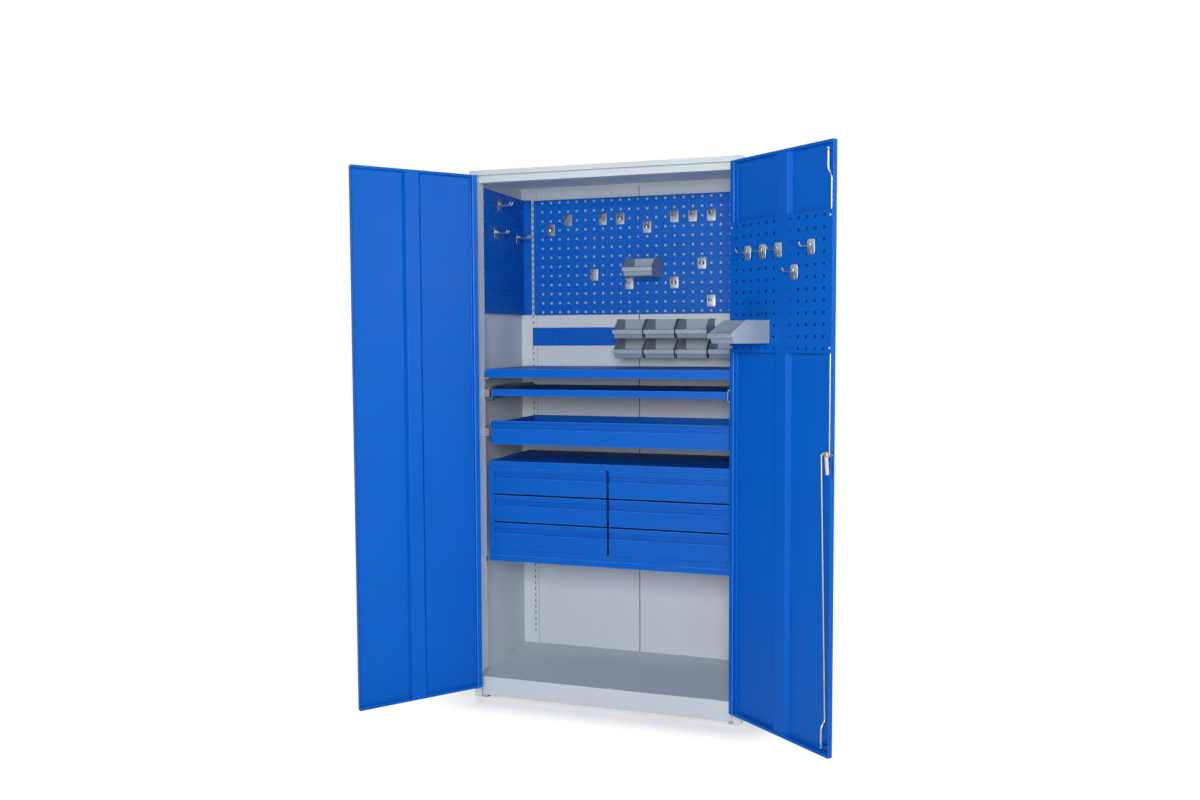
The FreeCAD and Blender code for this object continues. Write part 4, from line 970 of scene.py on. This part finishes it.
def studio_floor():
    """Matt white paper that is its own white to the eye, with the cabinet's shadow kept."""
    material, tree, output = blank_material("white_studio_floor")
    matt = node(tree, "ShaderNodeBsdfDiffuse", Color=linear("#F2F2F2"))
    white = node(tree, "ShaderNodeEmission", Color=linear(WHITE), Strength=1.0)
    place = node(tree, "ShaderNodeTexCoord").outputs["Object"]
    folded = node(tree, "ShaderNodeVectorMath", {"operation": "ABSOLUTE"}, i0=place)
    past = node(tree, "ShaderNodeVectorMath", {"operation": "SUBTRACT"},
                i0=folded.outputs[0], i1=FOOTPRINT)
    beside = node(tree, "ShaderNodeVectorMath", {"operation": "MAXIMUM"},
                  i0=past.outputs[0], i1=(0, 0, 0))
    distance = node(tree, "ShaderNodeVectorMath", {"operation": "LENGTH"}, i0=beside.outputs[0])
    own = node(tree, "ShaderNodeMapRange", {"interpolation_type": "SMOOTHERSTEP"},
               Value=distance.outputs["Value"], From_Min=0.0, From_Max=SHADOW_FAR,
               To_Min=1 - SHADOW_SHARE, To_Max=1.0)
    share = node(tree, "ShaderNodeMath", {"operation": "MULTIPLY"}, i0=seen_ray(tree),
                 i1=own.outputs["Result"])
    mix = node(tree, "ShaderNodeMixShader", Fac=share.outputs[0], i1=matt.outputs[0],
               i2=white.outputs[0])
    tree.links.new(mix.outputs[0], output.inputs["Surface"])
    return material


print("shadow share", SHADOW_SHARE, "fades out in", SHADOW_FAR, "m")

# %% [markdown]
# The floor is one square, large enough that its edges stay far from the cabinet.

# %% Floor
FLOOR_SIZE = 30.0
half = FLOOR_SIZE / 2
floor_corners = [(-half, -half, 0), (half, -half, 0), (half, half, 0), (-half, half, 0)]
floor_mesh = bpy.data.meshes.new("studio_floor")
floor_mesh.from_pydata(floor_corners, [], [(0, 1, 2, 3)])
floor_mesh.materials.append(studio_floor())
floor = placed("studio_floor", floor_mesh)
print("floor of", FLOOR_SIZE, "m")

# %% [markdown]
# The world is a pale blue room that only fills the shadows a little. The camera, and what
# mirrors it, sees plain white there, the same white as the floor.

# %% World light
FILL = 0.12
world = bpy.data.worlds.new("studio_world")
bpy.context.scene.world = world
world.use_nodes = True
sky = world.node_tree
sky.nodes.clear()
room = node(sky, "ShaderNodeBackground", Color=linear("#C9DDF8"), Strength=FILL)
white = node(sky, "ShaderNodeBackground", Color=linear(WHITE), Strength=1.0)
both = node(sky, "ShaderNodeMixShader", Fac=seen_ray(sky), i1=room.outputs[0],
            i2=white.outputs[0])
node(sky, "ShaderNodeOutputWorld", Surface=both.outputs[0])
print("world fill", FILL)

# %% [markdown]
# Two soft boxes light the front, as a photographer would. The strong one stands just behind and
# above the camera, so most shadows hide behind what casts them. The weaker one stands far to the
# right and lights the inside of the left door and the cabinet's left wall. A third one, behind
# the cabinet, can't be seen from the front and only shows the back in its own colour.

# %% Lamps
def soft_box(name, place, target, width, watts):
    """A square area lamp at a place, facing a target."""
    lamp = bpy.data.lights.new(name, "AREA")
    lamp.energy = watts
    lamp.size = width
    holder = placed(name, lamp)
    holder.location = place
    holder.rotation_euler = (Vector(target) - Vector(place)).to_track_quat("-Z", "Y").to_euler()


MIDDLE = (0.0, 0.0, 1.0)
LEFT_INSIDE = (-0.3, -0.3, 1.0)
soft_box("key_box", place=(0.9, -4.2, 1.75), target=MIDDLE, width=1.3, watts=130)
soft_box("side_box", place=(4.2, -1.55, 2.2), target=LEFT_INSIDE, width=1.4, watts=55)
soft_box("back_box", place=(-1.8, 3.2, 4.6), target=MIDDLE, width=2.4, watts=125)
print("three soft boxes")

# %% [markdown]
# The camera stands to the right of the cabinet at head height and looks a little down and to the
# left. Its place and lens were found by matching the cabinet's corners to their places in the
# photo.

# %% Camera
CAMERA_PLACE = (1.1387, -3.7825, 1.3445)
CAMERA_LEFT = math.radians(17.94)
CAMERA_DOWN = math.radians(3.40)
CAMERA_ROLL = math.radians(0.24)
CAMERA_LENS = 31.61
CAMERA_FILM = 36.0

camera_data = bpy.data.cameras.new("camera")
camera_data.lens = CAMERA_LENS
camera_data.sensor_width = CAMERA_FILM
camera = placed("camera", camera_data)
turn = Matrix.Rotation(CAMERA_LEFT, 4, "Z")
tip = Matrix.Rotation(math.pi / 2 - CAMERA_DOWN, 4, "X")
roll = Matrix.Rotation(-CAMERA_ROLL, 4, "Z")
camera.matrix_world = Matrix.Translation(CAMERA_PLACE) @ turn @ tip @ roll
bpy.context.scene.camera = camera
bpy.context.scene.view_settings.view_transform = "Standard"
print("camera lens", CAMERA_LENS, "mm")
